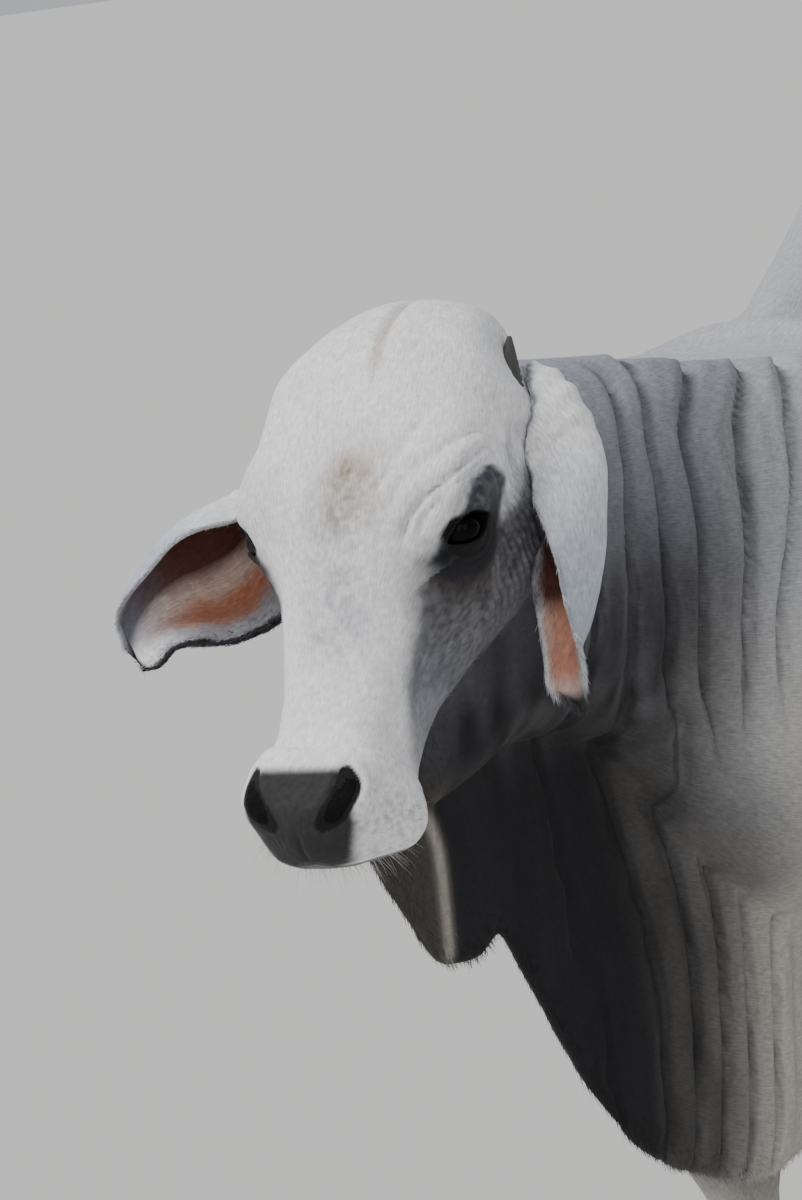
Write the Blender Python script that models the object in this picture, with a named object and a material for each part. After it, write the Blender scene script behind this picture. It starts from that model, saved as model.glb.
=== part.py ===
"""A life-size Brahman bull standing still, as closed solids that meet face to face.

The animal faces -Y with its own left side at +X, its hooves stand on z = 0, and all sizes are metres.
Flesh is drawn as lofts of cross-sections, joined whole and then parted by thin flat cuts.
"""

import math

import bmesh
import bpy
import numpy as np
from mathutils import Vector

GAP = 0.00035

# The head hangs from the poll: pitch below the horizon, and turn towards the animal's left.
POLL = np.array([0.023, -0.829, 1.455])
HEAD_PITCH = math.radians(55.6)
HEAD_TURN = math.radians(10.0)

EYE_PLACE = np.array([0.226, 0.104, -0.034])
EYE_RADIUS = 0.021
EYE_LOOK = np.array([0.10, 0.93, 0.36])
LID_THICKNESS = 0.0045

HOOF_TOP = 0.085
LEG_CUT = {"fore": 0.58, "hind": 0.62}
STEP = {"foreleg_left": -0.03, "foreleg_right": 0.03, "hindleg_left": 0.02, "hindleg_right": -0.10}

# y, top, bottom, then the core's centre height, half height and half width,
# and the half thickness of the fold below it and of the crest above it.
TRUNK = (
    (-0.960, 1.050, 0.985, 1.015, 0.030, 0.012, 0.008, 0.008),
    (-0.940, 1.085, 0.945, 1.020, 0.050, 0.024, 0.012, 0.014),
    (-0.900, 1.160, 0.872, 1.050, 0.090, 0.046, 0.014, 0.030),
    (-0.855, 1.255, 0.812, 1.100, 0.130, 0.068, 0.016, 0.045),
    (-0.805, 1.330, 0.804, 1.150, 0.165, 0.092, 0.018, 0.060),
    (-0.765, 1.362, 0.818, 1.180, 0.178, 0.108, 0.018, 0.066),
    (-0.733, 1.368, 0.772, 1.185, 0.182, 0.114, 0.017, 0.068),
    (-0.685, 1.366, 0.686, 1.185, 0.186, 0.120, 0.017, 0.070),
    (-0.634, 1.363, 0.606, 1.178, 0.194, 0.126, 0.019, 0.070),
    (-0.580, 1.360, 0.540, 1.160, 0.214, 0.135, 0.024, 0.071),
    (-0.530, 1.350, 0.504, 1.130, 0.248, 0.148, 0.033, 0.072),
    (-0.470, 1.336, 0.476, 1.092, 0.280, 0.170, 0.050, 0.070),
    (-0.400, 1.325, 0.456, 1.056, 0.306, 0.196, 0.066, 0.070),
    (-0.320, 1.317, 0.470, 1.028, 0.326, 0.222, 0.080, 0.070),
    (-0.245, 1.328, 0.512, 1.010, 0.338, 0.242, 0.100, 0.074),
    (-0.205, 1.350, 0.540, 1.004, 0.342, 0.250, 0.110, 0.078),
    (-0.165, 1.374, 0.560, 0.998, 0.344, 0.258, 0.120, 0.084),
    (-0.130, 1.393, 0.574, 0.996, 0.346, 0.264, 0.126, 0.090),
    (-0.080, 1.424, 0.588, 0.992, 0.350, 0.272, 0.132, 0.098),
    (-0.030, 1.458, 0.595, 0.988, 0.354, 0.280, 0.136, 0.106),
    (0.030, 1.500, 0.600, 0.986, 0.358, 0.290, 0.142, 0.112),
    (0.090, 1.537, 0.603, 0.986, 0.364, 0.300, 0.148, 0.114),
    (0.150, 1.555, 0.604, 0.987, 0.370, 0.309, 0.152, 0.110),
    (0.210, 1.550, 0.604, 0.989, 0.376, 0.316, 0.154, 0.104),
    (0.270, 1.508, 0.606, 0.992, 0.378, 0.321, 0.152, 0.096),
    (0.330, 1.448, 0.610, 0.997, 0.378, 0.324, 0.146, 0.090),
    (0.390, 1.404, 0.616, 1.003, 0.380, 0.324, 0.138, 0.086),
    (0.480, 1.390, 0.632, 1.016, 0.370, 0.318, 0.128, 0.086),
    (0.580, 1.398, 0.660, 1.038, 0.352, 0.303, 0.120, 0.092),
    (0.690, 1.410, 0.706, 1.066, 0.328, 0.282, 0.122, 0.102),
    (0.800, 1.410, 0.760, 1.094, 0.300, 0.260, 0.128, 0.108),
    (0.910, 1.392, 0.816, 1.116, 0.266, 0.232, 0.118, 0.100),
    (1.000, 1.354, 0.880, 1.128, 0.220, 0.188, 0.090, 0.076),
    (1.068, 1.294, 0.958, 1.130, 0.154, 0.132, 0.055, 0.050),
    (1.100, 1.212, 1.050, 1.130, 0.078, 0.070, 0.030, 0.028),
)
CORE_POWER = 2.4
FOLD_POWER = 3.0
NECK_CREST_POWER = 2.6
HUMP_CREST_POWER = 4.2
BLEND_POWER = 3.5

# Creases between the rolls of loose neck skin: how far back each lies at these heights.
FOLD_HEIGHTS = (1.34, 1.26, 1.16, 1.06, 0.96, 0.86, 0.74, 0.56)
FOLDS = (
    (-0.712, -0.732, -0.745, -0.748, -0.750, -0.757, -0.764, -0.764),
    (-0.645, -0.668, -0.692, -0.692, -0.680, -0.665, -0.640, -0.610),
    (-0.586, -0.625, -0.642, -0.638, -0.602, -0.579, -0.557, -0.550),
    (-0.548, -0.588, -0.594, -0.591, -0.556, -0.526, -0.513, -0.516),
    (-0.466, -0.542, -0.549, -0.556, -0.532, -0.498, -0.480, -0.485),
    (-0.385, -0.462, -0.486, -0.505, -0.508, -0.472, -0.448, -0.450),
    (-0.320, -0.398, -0.440, -0.470, -0.474, -0.440, -0.408, -0.410),
    (-0.240, -0.320, -0.376, -0.420, -0.436, -0.404, -0.370, -0.370),
)
FOLD_DEPTH = 0.010

# Distance from the poll along the face, then the height of the face line and of the jaw line above the
# poll-to-nose chord, half width, share of the height where it is widest, and two powers: brow and jaw.
HEAD = (
    (-0.040, -0.082, -0.130, 0.038, 0.50, 2.0, 2.0),
    (-0.028, -0.046, -0.165, 0.067, 0.55, 2.0, 2.0),
    (-0.004, -0.017, -0.195, 0.090, 0.60, 2.2, 2.0),
    (0.036, 0.007, -0.222, 0.112, 0.62, 2.4, 2.1),
    (0.087, 0.022, -0.243, 0.127, 0.62, 2.6, 2.2),
    (0.150, 0.031, -0.250, 0.131, 0.63, 2.7, 2.3),
    (0.205, 0.029, -0.238, 0.123, 0.64, 2.7, 2.4),
    (0.260, 0.016, -0.212, 0.104, 0.64, 2.6, 2.5),
    (0.320, -0.002, -0.180, 0.080, 0.60, 2.6, 2.5),
    (0.380, -0.011, -0.153, 0.065, 0.54, 2.7, 2.6),
    (0.425, -0.013, -0.140, 0.062, 0.48, 2.8, 2.6),
    (0.443, -0.009, -0.138, 0.064, 0.46, 2.9, 2.6),
    (0.457, -0.002, -0.136, 0.069, 0.44, 3.0, 2.6),
    (0.480, 0.001, -0.133, 0.071, 0.42, 2.8, 2.4),
    (0.508, -0.002, -0.124, 0.068, 0.42, 2.6, 2.2),
    (0.528, -0.012, -0.106, 0.058, 0.45, 2.3, 2.0),
    (0.542, -0.027, -0.086, 0.042, 0.50, 2.0, 2.0),
    (0.549, -0.042, -0.068, 0.020, 0.50, 2.0, 2.0),
)

# Swellings and hollows of the head: centre and reach as along, out and up, then the push.
HEAD_FORMS = {
    "brow ridge": ((0.195, 0.112, -0.008), (0.050, 0.035, 0.035), (0.0, 0.010, 0.010)),
    "eye bulge": ((0.228, 0.112, -0.036), (0.036, 0.040, 0.030), (0.0, 0.008, 0.002)),
    "tear hollow": ((0.285, 0.090, -0.020), (0.035, 0.040, 0.022), (0.0, -0.009, 0.0)),
    "temple hollow": ((0.120, 0.130, -0.085), (0.045, 0.050, 0.032), (0.0, -0.013, 0.0)),
    "cheek bone": ((0.270, 0.100, -0.070), (0.070, 0.050, 0.018), (0.0, 0.007, 0.0)),
    "cheek muscle": ((0.190, 0.115, -0.165), (0.075, 0.060, 0.055), (0.0, 0.012, 0.0)),
    "cheek hollow": ((0.355, 0.080, -0.095), (0.045, 0.050, 0.035), (0.0, -0.010, 0.0)),
    "nostril wing": ((0.500, 0.060, -0.012), (0.026, 0.026, 0.022), (0.006, 0.010, 0.006)),
    "upper lip": ((0.494, 0.072, -0.084), (0.036, 0.040, 0.028), (0.004, 0.018, -0.007)),
    "lower lip": ((0.552, 0.000, -0.088), (0.030, 0.070, 0.020), (-0.005, 0.0, 0.0)),
    "horn hollow": ((0.020, 0.105, -0.075), (0.042, 0.035, 0.036), (0.0, -0.010, 0.0)),
    "chin groove": ((0.470, 0.060, -0.128), (0.030, 0.060, 0.012), (0.0, -0.010, 0.0)),
    "forehead crown": ((0.060, 0.000, 0.020), (0.070, 0.080, 0.060), (0.0, 0.0, 0.006)),
}

NOSTRIL = ((0.477, 0.049, -0.004, 0.0075), (0.489, 0.052, -0.006, 0.0120), (0.503, 0.047, -0.007, 0.0130),
           (0.515, 0.038, -0.009, 0.0120), (0.523, 0.027, -0.013, 0.0075))
NOSTRIL_LOOK = np.array([0.40, 0.35, 0.85])

# The mouth's line from the middle of the lips to the left corner: along, out and up.
MOUTH = ((0.549, 0.000, -0.053), (0.545, 0.030, -0.058), (0.532, 0.058, -0.074), (0.513, 0.078, -0.093),
         (0.482, 0.084, -0.108), (0.446, 0.078, -0.118))
MOUTH_GAPE = 0.0024

# Swellings and hollows of the body: centre, reach and push, mirrored to the right side.
BODY_FORMS = {
    "shoulder point": ((0.145, -0.440, 0.810), (0.085, 0.085, 0.105), (0.034, -0.066, 0.0)),
    "shoulder blade": ((0.240, -0.180, 1.080), (0.080, 0.090, 0.170), (0.022, 0.0, 0.0)),
    "behind shoulder": ((0.290, 0.030, 1.000), (0.080, 0.050, 0.180), (-0.016, 0.0, 0.0)),
    "flank hollow": ((0.290, 0.580, 1.190), (0.090, 0.080, 0.080), (-0.036, 0.0, -0.006)),
    "hook bone": ((0.250, 0.690, 1.300), (0.060, 0.055, 0.045), (0.026, 0.0, 0.014)),
    "pin bone": ((0.110, 1.030, 1.240), (0.050, 0.045, 0.045), (0.012, 0.026, 0.008)),
    "thigh": ((0.220, 0.840, 1.020), (0.090, 0.150, 0.150), (0.022, 0.0, 0.0)),
}

# z, x, y, half width, half length of each leg's sections, from the body down.
FORELEG = (
    (1.140, 0.150, -0.180, 0.030, 0.060),
    (1.040, 0.172, -0.230, 0.060, 0.120),
    (0.920, 0.188, -0.280, 0.080, 0.158),
    (0.800, 0.192, -0.275, 0.082, 0.148),
    (0.700, 0.187, -0.240, 0.067, 0.106),
    (0.610, 0.182, -0.222, 0.055, 0.076),
    (0.520, 0.179, -0.218, 0.046, 0.058),
    (0.460, 0.177, -0.222, 0.046, 0.051),
    (0.410, 0.176, -0.224, 0.050, 0.054),
    (0.355, 0.176, -0.218, 0.038, 0.043),
    (0.270, 0.176, -0.216, 0.032, 0.037),
    (0.200, 0.176, -0.218, 0.035, 0.040),
    (0.160, 0.176, -0.222, 0.043, 0.047),
    (0.118, 0.176, -0.234, 0.038, 0.041),
    (HOOF_TOP + GAP, 0.176, -0.244, 0.047, 0.051),
)
HINDLEG = (
    (1.160, 0.100, 0.790, 0.030, 0.060),
    (1.050, 0.136, 0.800, 0.078, 0.140),
    (0.930, 0.158, 0.800, 0.092, 0.182),
    (0.810, 0.172, 0.812, 0.086, 0.184),
    (0.710, 0.174, 0.866, 0.066, 0.136),
    (0.630, 0.172, 0.926, 0.050, 0.092),
    (0.565, 0.170, 0.970, 0.043, 0.070),
    (0.505, 0.170, 0.978, 0.045, 0.063),
    (0.440, 0.170, 0.961, 0.037, 0.050),
    (0.340, 0.170, 0.940, 0.033, 0.042),
    (0.220, 0.170, 0.918, 0.036, 0.042),
    (0.165, 0.170, 0.908, 0.043, 0.048),
    (0.118, 0.170, 0.890, 0.038, 0.042),
    (HOOF_TOP + GAP, 0.170, 0.876, 0.047, 0.052),
)
CLAW_LENGTH = 0.124
CLAW_WIDTH = 0.049
CLAW_SPREAD = 0.0262
DEWCLAW = 0.016

TAIL_PATH = ((0.990, 1.312, 0.036), (1.053, 1.300, 0.038), (1.108, 1.264, 0.034), (1.136, 1.190, 0.029),
             (1.147, 1.080, 0.024), (1.152, 0.940, 0.020), (1.156, 0.800, 0.017), (1.159, 0.680, 0.016),
             (1.161, 0.600, 0.015))
SHEATH = ((0.210, 0.680, 0.040, 0.105), (0.260, 0.610, 0.034, 0.088), (0.292, 0.560, 0.028, 0.062),
          (0.312, 0.520, 0.023, 0.042), (0.324, 0.494, 0.016, 0.026), (0.328, 0.484, 0.006, 0.010))
SCROTUM = ((0.810, 0.860, 0.050, 0.070), (0.815, 0.760, 0.034, 0.038), (0.820, 0.680, 0.046, 0.043),
           (0.822, 0.620, 0.054, 0.049), (0.824, 0.578, 0.044, 0.040), (0.824, 0.556, 0.018, 0.016))
SWITCH_TOP = 0.700
SWITCH_TIP = 0.300
SWITCH_LOCKS = 16

# Ear sections from root to tip in the head's own frame, as along, out and up of the hidden edge, of the back
# and of the edge in view, then how far a section curls from its back to either edge, in degrees.
EARS = {
    "ear_left": (
        (0.104, 0.060, -0.146, 0.050, 0.062, -0.136, 0.106, 0.072, -0.112, 105),
        (0.093, 0.073, -0.153, 0.009, 0.092, -0.139, 0.109, 0.099, -0.100, 110),
        (0.133, 0.086, -0.166, 0.041, 0.139, -0.134, 0.134, 0.111, -0.104, 115),
        (0.172, 0.105, -0.158, 0.078, 0.163, -0.143, 0.151, 0.119, -0.109, 115),
        (0.200, 0.124, -0.142, 0.121, 0.177, -0.154, 0.173, 0.140, -0.104, 105),
        (0.223, 0.126, -0.144, 0.172, 0.178, -0.167, 0.208, 0.160, -0.102, 95),
        (0.245, 0.122, -0.161, 0.215, 0.169, -0.186, 0.238, 0.169, -0.119, 90),
        (0.269, 0.119, -0.183, 0.254, 0.152, -0.207, 0.265, 0.171, -0.144, 80),
        (0.294, 0.124, -0.198, 0.283, 0.135, -0.221, 0.291, 0.167, -0.178, 70),
        (0.316, 0.125, -0.209, 0.308, 0.136, -0.230, 0.311, 0.159, -0.213, 55),
        (0.326, 0.143, -0.234, 0.325, 0.145, -0.238, 0.323, 0.151, -0.236, 40),
    ),
    "ear_right": (
        (0.185, 0.090, -0.160, 0.110, 0.096, -0.160, 0.112, 0.090, -0.096, 105),
        (0.205, 0.135, -0.186, 0.112, 0.170, -0.186, 0.126, 0.145, -0.122, 112),
        (0.220, 0.180, -0.199, 0.122, 0.246, -0.200, 0.143, 0.198, -0.139, 112),
        (0.249, 0.193, -0.188, 0.153, 0.264, -0.190, 0.157, 0.209, -0.121, 112),
        (0.265, 0.214, -0.174, 0.174, 0.283, -0.177, 0.173, 0.233, -0.104, 108),
        (0.273, 0.240, -0.158, 0.195, 0.303, -0.163, 0.195, 0.261, -0.096, 100),
        (0.282, 0.267, -0.150, 0.222, 0.318, -0.153, 0.217, 0.289, -0.101, 90),
        (0.294, 0.287, -0.153, 0.250, 0.326, -0.146, 0.243, 0.314, -0.112, 70),
        (0.298, 0.300, -0.157, 0.273, 0.327, -0.145, 0.265, 0.327, -0.126, 55),
        (0.298, 0.308, -0.159, 0.287, 0.320, -0.151, 0.281, 0.327, -0.140, 40),
    ),
}
EAR_THICKNESS = 0.007
HORN_ROOT = np.array([0.080, 0.108, -0.090])
HORN_TIP = np.array([0.002, 0.088, -0.082])
HORN_RADIUS = 0.0135

# Each cut as planes round the piece: a point on the plane and its outward direction.
HEAD_REAR = (((0.0, -0.745, 1.40), (0.0, 0.93, 0.36)), ((0.0, -0.90, 0.985), (0.0, 0.30, -0.954)))
DEWLAP_CUT = (((0.0, -0.90, 0.985), (0.0, 0.40, 0.916)), ((0.0, -0.50, 0.80), (0.0, 0.985, 0.17)))
NECK_CUT = (((0.0, -0.262, 1.330), (0.0, 0.970, -0.24)),)
HUMP_CUT = (((0.0, 0.10, 1.385), (0.0, 0.0, -1.0)), ((0.0, 0.410, 1.40), (0.0, 1.0, 0.0)))
TAIL_CUT = (((0.0, 1.110, 1.264), (0.0, -0.55, 0.83)), ((0.0, 1.1045, 0.4), (0.0, -1.0, 0.0)),
            ((0.05, 0.0, 0.0), (1.0, 0.0, 0.0)), ((-0.05, 0.0, 0.0), (-1.0, 0.0, 0.0)))

COLOURS = {
    "coat_light": (0.62, 0.61, 0.60, 0.75, 0.0),
    "coat_grey": (0.30, 0.30, 0.31, 0.8, 0.0),
    "coat_dark": (0.075, 0.075, 0.085, 0.8, 0.0),
    "eye": (0.012, 0.009, 0.008, 0.08, 0.0),
    "horn": (0.16, 0.15, 0.14, 0.55, 0.0),
    "hoof": (0.055, 0.05, 0.048, 0.5, 0.0),
    "tail_hair": (0.02, 0.018, 0.017, 0.6, 0.0),
}


def material(name):
    """The named finish as a Principled material: colour, roughness, metallic."""
    found = bpy.data.materials.get(name)
    if found:
        return found
    red, green, blue, rough, metal = COLOURS[name]
    made = bpy.data.materials.new(name)
    made.diffuse_color = (red, green, blue, 1.0)
    made.use_nodes = True
    shader = made.node_tree.nodes["Principled BSDF"]
    shader.inputs["Base Color"].default_value = (red, green, blue, 1.0)
    shader.inputs["Roughness"].default_value = rough
    shader.inputs["Metallic"].default_value = metal
    return made


def smooth_rows(rows, at):
    """Each column of the table read at the given places of its first, as a smooth curve."""
    table = np.array(rows, float)
    x, y = table[:, 0], table[:, 1:]
    order = np.argsort(x)
    x, y = x[order], y[order]
    step = np.diff(x)[:, None]
    slope = np.diff(y, axis=0) / step
    left, right = slope[:-1], slope[1:]
    same_way = left * right > 0
    total = np.where(same_way, left + right, 1.0)
    inner = np.where(same_way, 2.0 * left * right / total, 0.0)
    tangent = np.vstack([slope[:1], inner, slope[-1:]])
    at = np.asarray(at, float)
    k = np.clip(np.searchsorted(x, at) - 1, 0, len(x) - 2)
    h = step[k]
    t = ((at - x[k])[:, None]) / h
    return (y[k] * (1 + 2 * t) * (1 - t) ** 2 + y[k + 1] * t * t * (3 - 2 * t)
            + h * tangent[k] * t * (1 - t) ** 2 + h * tangent[k + 1] * t * t * (t - 1))


def evened(across, height, count):
    """Half outlines, one per row, resampled so that their points lie evenly along them."""
    run = np.hypot(np.diff(across, axis=1), np.diff(height, axis=1)).cumsum(axis=1)
    run = np.hstack([np.zeros((len(run), 1)), run])
    wanted = np.linspace(0, 1, count)
    pairs = [(np.interp(wanted * r[-1], r, a), np.interp(wanted * r[-1], r, h))
             for r, a, h in zip(run, across, height)]
    return np.array([p[0] for p in pairs]), np.array([p[1] for p in pairs])


def closed_rings(across, height):
    """Half outlines made whole rings: up the left side and down the right one."""
    left = np.stack([across, height], axis=2)
    right = np.stack([-across[:, -2:0:-1], height[:, -2:0:-1]], axis=2)
    return np.concatenate([left, right], axis=1)


def pushed(points, forms, across=0):
    """Points moved by each swelling, which fades with distance as a bell curve, on both sides.

    The axis that runs across the animal is the one that is flipped for the right side.
    """
    moved = points.copy()
    for centre, reach, push in forms.values():
        for side in (1, -1) if centre[across] else (1,):
            flip = np.where(np.arange(3) == across, side, 1.0)
            near = np.exp(-(((points - np.array(centre) * flip) / np.array(reach)) ** 2).sum(-1))
            moved += near[..., None] * (np.array(push) * flip)
    return moved


def loft_mesh(name, rings, finish=None):
    """A closed mesh from rings of points, one row per ring, with a fan over each end."""
    count, around = rings.shape[:2]
    points = np.vstack([rings.reshape(-1, 3), rings[0].mean(axis=0), rings[-1].mean(axis=0)])
    index = np.arange(count * around).reshape(count, around)
    turned = np.roll(index, -1, axis=1)
    sides = np.stack([index[:-1], turned[:-1], turned[1:], index[1:]], axis=2).reshape(-1, 4)
    first, last = count * around, count * around + 1
    near = [(first, b, a) for a, b in zip(index[0], turned[0])]
    far = [(last, a, b) for a, b in zip(index[-1], turned[-1])]
    return solid(name, points, [tuple(f) for f in sides] + near + far, finish)


def solid(name, points, faces, finish=None):
    """A mesh object from points and faces, its faces turned outwards."""
    mesh = bpy.data.meshes.new(name)
    mesh.from_pydata([tuple(p) for p in points], [], [tuple(int(i) for i in f) for f in faces])
    shell = bmesh.new()
    shell.from_mesh(mesh)
    bmesh.ops.recalc_face_normals(shell, faces=shell.faces)
    bmesh.ops.triangulate(shell, faces=shell.faces)
    shell.to_mesh(mesh)
    shell.free()
    made = bpy.data.objects.new(name, mesh)
    bpy.context.scene.collection.objects.link(made)
    if finish:
        mesh.materials.append(material(finish))
    return made


def settle(made):
    """Applies the object's modifiers."""
    graph = bpy.context.evaluated_depsgraph_get()
    mesh = bpy.data.meshes.new_from_object(made.evaluated_get(graph))
    made.modifiers.clear()
    old = made.data
    made.data = mesh
    bpy.data.meshes.remove(old)
    return made


def combine(made, operation, others):
    """The object joined with, cut by or kept within closed meshes, which are then removed."""
    tools = bpy.data.collections.new("tools")
    bpy.context.scene.collection.children.link(tools)
    for other in others:
        for home in list(other.users_collection):
            home.objects.unlink(other)
        tools.objects.link(other)
    join = made.modifiers.new("join", "BOOLEAN")
    join.operation = operation
    join.operand_type = "COLLECTION"
    join.collection = tools
    join.solver = "EXACT"
    settle(made)
    for other in others:
        bpy.data.objects.remove(other)
    bpy.data.collections.remove(tools)
    return made


def copied(made, name):
    """A copy of the object with its own mesh."""
    twin = made.copy()
    twin.data = made.data.copy()
    twin.name = name
    bpy.context.scene.collection.objects.link(twin)
    return twin


def largest_piece(made):
    """Keeps only the object's largest closed surface."""
    shell = bmesh.new()
    shell.from_mesh(made.data)
    bmesh.ops.remove_doubles(shell, verts=shell.verts, dist=1e-6)
    left = set(shell.verts)
    islands = []
    while left:
        seed = left.pop()
        island, edge = {seed}, [seed]
        while edge:
            for link in edge.pop().link_edges:
                for vert in link.verts:
                    if vert in left:
                        left.discard(vert)
                        island.add(vert)
                        edge.append(vert)
        islands.append(island)
    islands.sort(key=len)
    drop = [vert for island in islands[:-1] for vert in island]
    bmesh.ops.delete(shell, geom=drop, context="VERTS")
    bmesh.ops.triangulate(shell, faces=shell.faces)
    shell.to_mesh(made.data)
    shell.free()
    return made


def head_axes():
    """The head's own directions in the world: along the face, out to its left, up off the face."""
    forward = np.array([math.sin(HEAD_TURN), -math.cos(HEAD_TURN), 0.0])
    out = np.array([math.cos(HEAD_TURN), math.sin(HEAD_TURN), 0.0])
    up = np.array([0.0, 0.0, 1.0])
    along = forward * math.cos(HEAD_PITCH) - up * math.sin(HEAD_PITCH)
    above = forward * math.sin(HEAD_PITCH) + up * math.cos(HEAD_PITCH)
    return np.stack([along, out, above])


def from_head(points):
    """Points in the head's frame placed in the world."""
    return POLL + np.asarray(points, float) @ head_axes()


def trunk_rings(places, count):
    """Neck, hump, dewlap, chest, belly and rump as upright sections.

    A section's half width at a height is the power mean of three half ellipses: the core,
    the thin fold that hangs below its centre and the crest that stands above it.
    """
    top, bottom, centre, half, width, fold, crest = smooth_rows(TRUNK, places).T[:, :, None]
    turn = np.linspace(0, math.pi, 160)[None, :]
    height = bottom + (top - bottom) * (1 - np.cos(turn)) / 2

    crest_power = np.interp(places, (-0.20, 0.10), (NECK_CREST_POWER, HUMP_CREST_POWER))[:, None]

    def ellipse(reach, power):
        return (1 - np.clip(np.abs(height - centre) / reach, 0, 1) ** power) ** (1 / power)

    core = width * ellipse(half, CORE_POWER)
    fade = ellipse(half, 2.0)
    below = fold * np.where(height < centre, ellipse(centre - bottom, FOLD_POWER), fade)
    above = crest * np.where(height > centre, ellipse(top - centre, crest_power), fade)
    across = (core ** BLEND_POWER + below ** BLEND_POWER + above ** BLEND_POWER) ** (1 / BLEND_POWER)
    across[:, 0] = across[:, -1] = 0
    ring = closed_rings(*evened(across, height, count))
    y = np.broadcast_to(np.asarray(places)[:, None], ring.shape[:2])
    points = np.stack([ring[..., 0], y, ring[..., 1]], axis=2)
    return folded(pushed(points, BODY_FORMS))


def folded(points):
    """The neck's loose skin: rounded rolls between creases, which also lift the top line.

    A point's place among the creases is a running count of those it has passed, and a roll is
    the root of the sine of half a turn between two creases.
    """
    x, y, z = np.moveaxis(points, -1, 0)
    table = np.column_stack([FOLD_HEIGHTS, np.array(FOLDS).T])
    level = np.clip(z, FOLD_HEIGHTS[-1], FOLD_HEIGHTS[0])
    lines = np.moveaxis(smooth_rows(table, level.ravel()).reshape(*z.shape, len(FOLDS)), -1, 0)
    passed = sum(np.clip((y - near) / (far - near), 0, 1) for near, far in zip(lines, lines[1:]))
    edge = np.clip(passed * 4, 0, 1) * np.clip((len(FOLDS) - 1 - passed) * 1.5, 0, 1)
    roll = (np.abs(np.sin(math.pi * passed)) ** 0.6 - 0.55) * FOLD_DEPTH * edge
    out = np.sign(x) * roll * np.clip(np.abs(x) / 0.05, 0.3, 1.0)
    lift = roll * 0.7 * np.clip((z - 1.22) / 0.08, 0, 1)
    return np.stack([x + out, y, z + lift], axis=2)


def head_rings(places, count):
    """Skull, face and muzzle as sections across the face.

    A section widens from the jaw line to its widest height, then closes to the face line,
    each half as a super-ellipse.
    """
    top, jaw, width, widest, brow, cheek = smooth_rows(HEAD, places).T[:, :, None]
    turn = np.linspace(0, math.pi, 160)[None, :]
    share = (1 - np.cos(turn)) / 2
    upper = (1 - np.clip((share - widest) / (1 - widest), 0, 1) ** brow) ** (1 / brow)
    lower = (1 - np.clip((widest - share) / widest, 0, 1) ** cheek) ** (1 / cheek)
    across = width * np.minimum(upper, lower)
    across[:, 0] = across[:, -1] = 0
    ring = closed_rings(*evened(across, jaw + (top - jaw) * share, count))
    along = np.broadcast_to(np.asarray(places)[:, None], ring.shape[:2])
    points = np.stack([along, ring[..., 0], ring[..., 1]], axis=2)
    return from_head(pushed(points, HEAD_FORMS, across=1))


def tube_rings(path, radii, around):
    """Circles square to a path, their radii given as one number or as (side, depth) pairs."""
    path = np.asarray(path, float)
    radii = np.asarray(radii, float)
    radii = np.stack([radii, radii], axis=1) if radii.ndim == 1 else radii
    ahead = np.gradient(path, axis=0)
    ahead /= np.linalg.norm(ahead, axis=1)[:, None]
    side = np.array([1.0, 0.0, 0.0]) - ahead * ahead[:, :1]
    side /= np.linalg.norm(side, axis=1)[:, None]
    deep = np.cross(ahead, side)
    angle = np.linspace(0, 2 * math.pi, around, endpoint=False)
    return (path[:, None] + side[:, None] * (radii[:, None, :1] * np.cos(angle)[None, :, None])
            + deep[:, None] * (radii[:, None, 1:] * np.sin(angle)[None, :, None]))


def leg_solid(name, rows, side, around=14, rings=22):
    """One leg as level sections from inside the body down to the hoof, shifted for its step."""
    table = np.array(rows)
    knots = -table[:, 0]
    share = np.linspace(0, 1, rings)
    levels = np.interp(share, np.linspace(0, 1, len(rows)), knots)
    x, y, wide, long = smooth_rows(np.column_stack([knots, table[:, 1:]]), levels).T
    z = -levels
    y = y + STEP[name] * np.clip((1.0 - z) / 0.9, 0, 1)
    angle = np.linspace(0, 2 * math.pi, around, endpoint=False)
    cos, sin = np.cos(angle), np.sin(angle)
    squarish = (np.abs(cos) ** 2.4 + np.abs(sin) ** 2.4) ** (-1 / 2.4)
    points = np.stack([side * x[:, None] + wide[:, None] * cos * squarish,
                       y[:, None] + long[:, None] * sin * squarish,
                       np.broadcast_to(z[:, None], (rings, around))], axis=2)
    return loft_mesh(name, points, "coat_light")


def claw_solid(name, x, y, side):
    """One hoof claw: D-shaped sections on a flat sole, the toe wall sloping back as it rises."""
    levels = np.array([0.0, 0.012, 0.045, HOOF_TOP])
    rise = levels / HOOF_TOP
    toe = y - CLAW_LENGTH * (0.60 - 0.26 * rise)
    heel = y + CLAW_LENGTH * (0.40 - 0.02 * rise)
    half = CLAW_WIDTH / 2 * (1 - 0.10 * rise)
    half[0] *= 0.97
    angle = np.linspace(0, 2 * math.pi, 12, endpoint=False)
    cos, sin = np.cos(angle), np.sin(angle)
    round_out = (np.abs(cos) ** 2.8 + np.abs(sin) ** 2.8) ** (-1 / 2.8)
    taper = 1 - 0.22 * np.clip(-sin, 0, 1)
    points = np.stack([x + side * CLAW_SPREAD + half[:, None] * cos * round_out * taper,
                       (toe + heel)[:, None] / 2 + (heel - toe)[:, None] / 2 * sin * round_out,
                       np.broadcast_to(levels[:, None], (4, 12))], axis=2)
    return loft_mesh(name, points, "hoof")


def hooves(leg, rows, side):
    """The two claws under one leg."""
    bottom = rows[-1]
    x, y = side * bottom[1], bottom[2] + STEP[leg] * (1.0 - bottom[0]) / 0.9
    for place, way in (("outer", side), ("inner", -side)):
        claw_solid(leg.replace("leg", "hoof") + "_" + place, x, y - 0.012, way)


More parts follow.
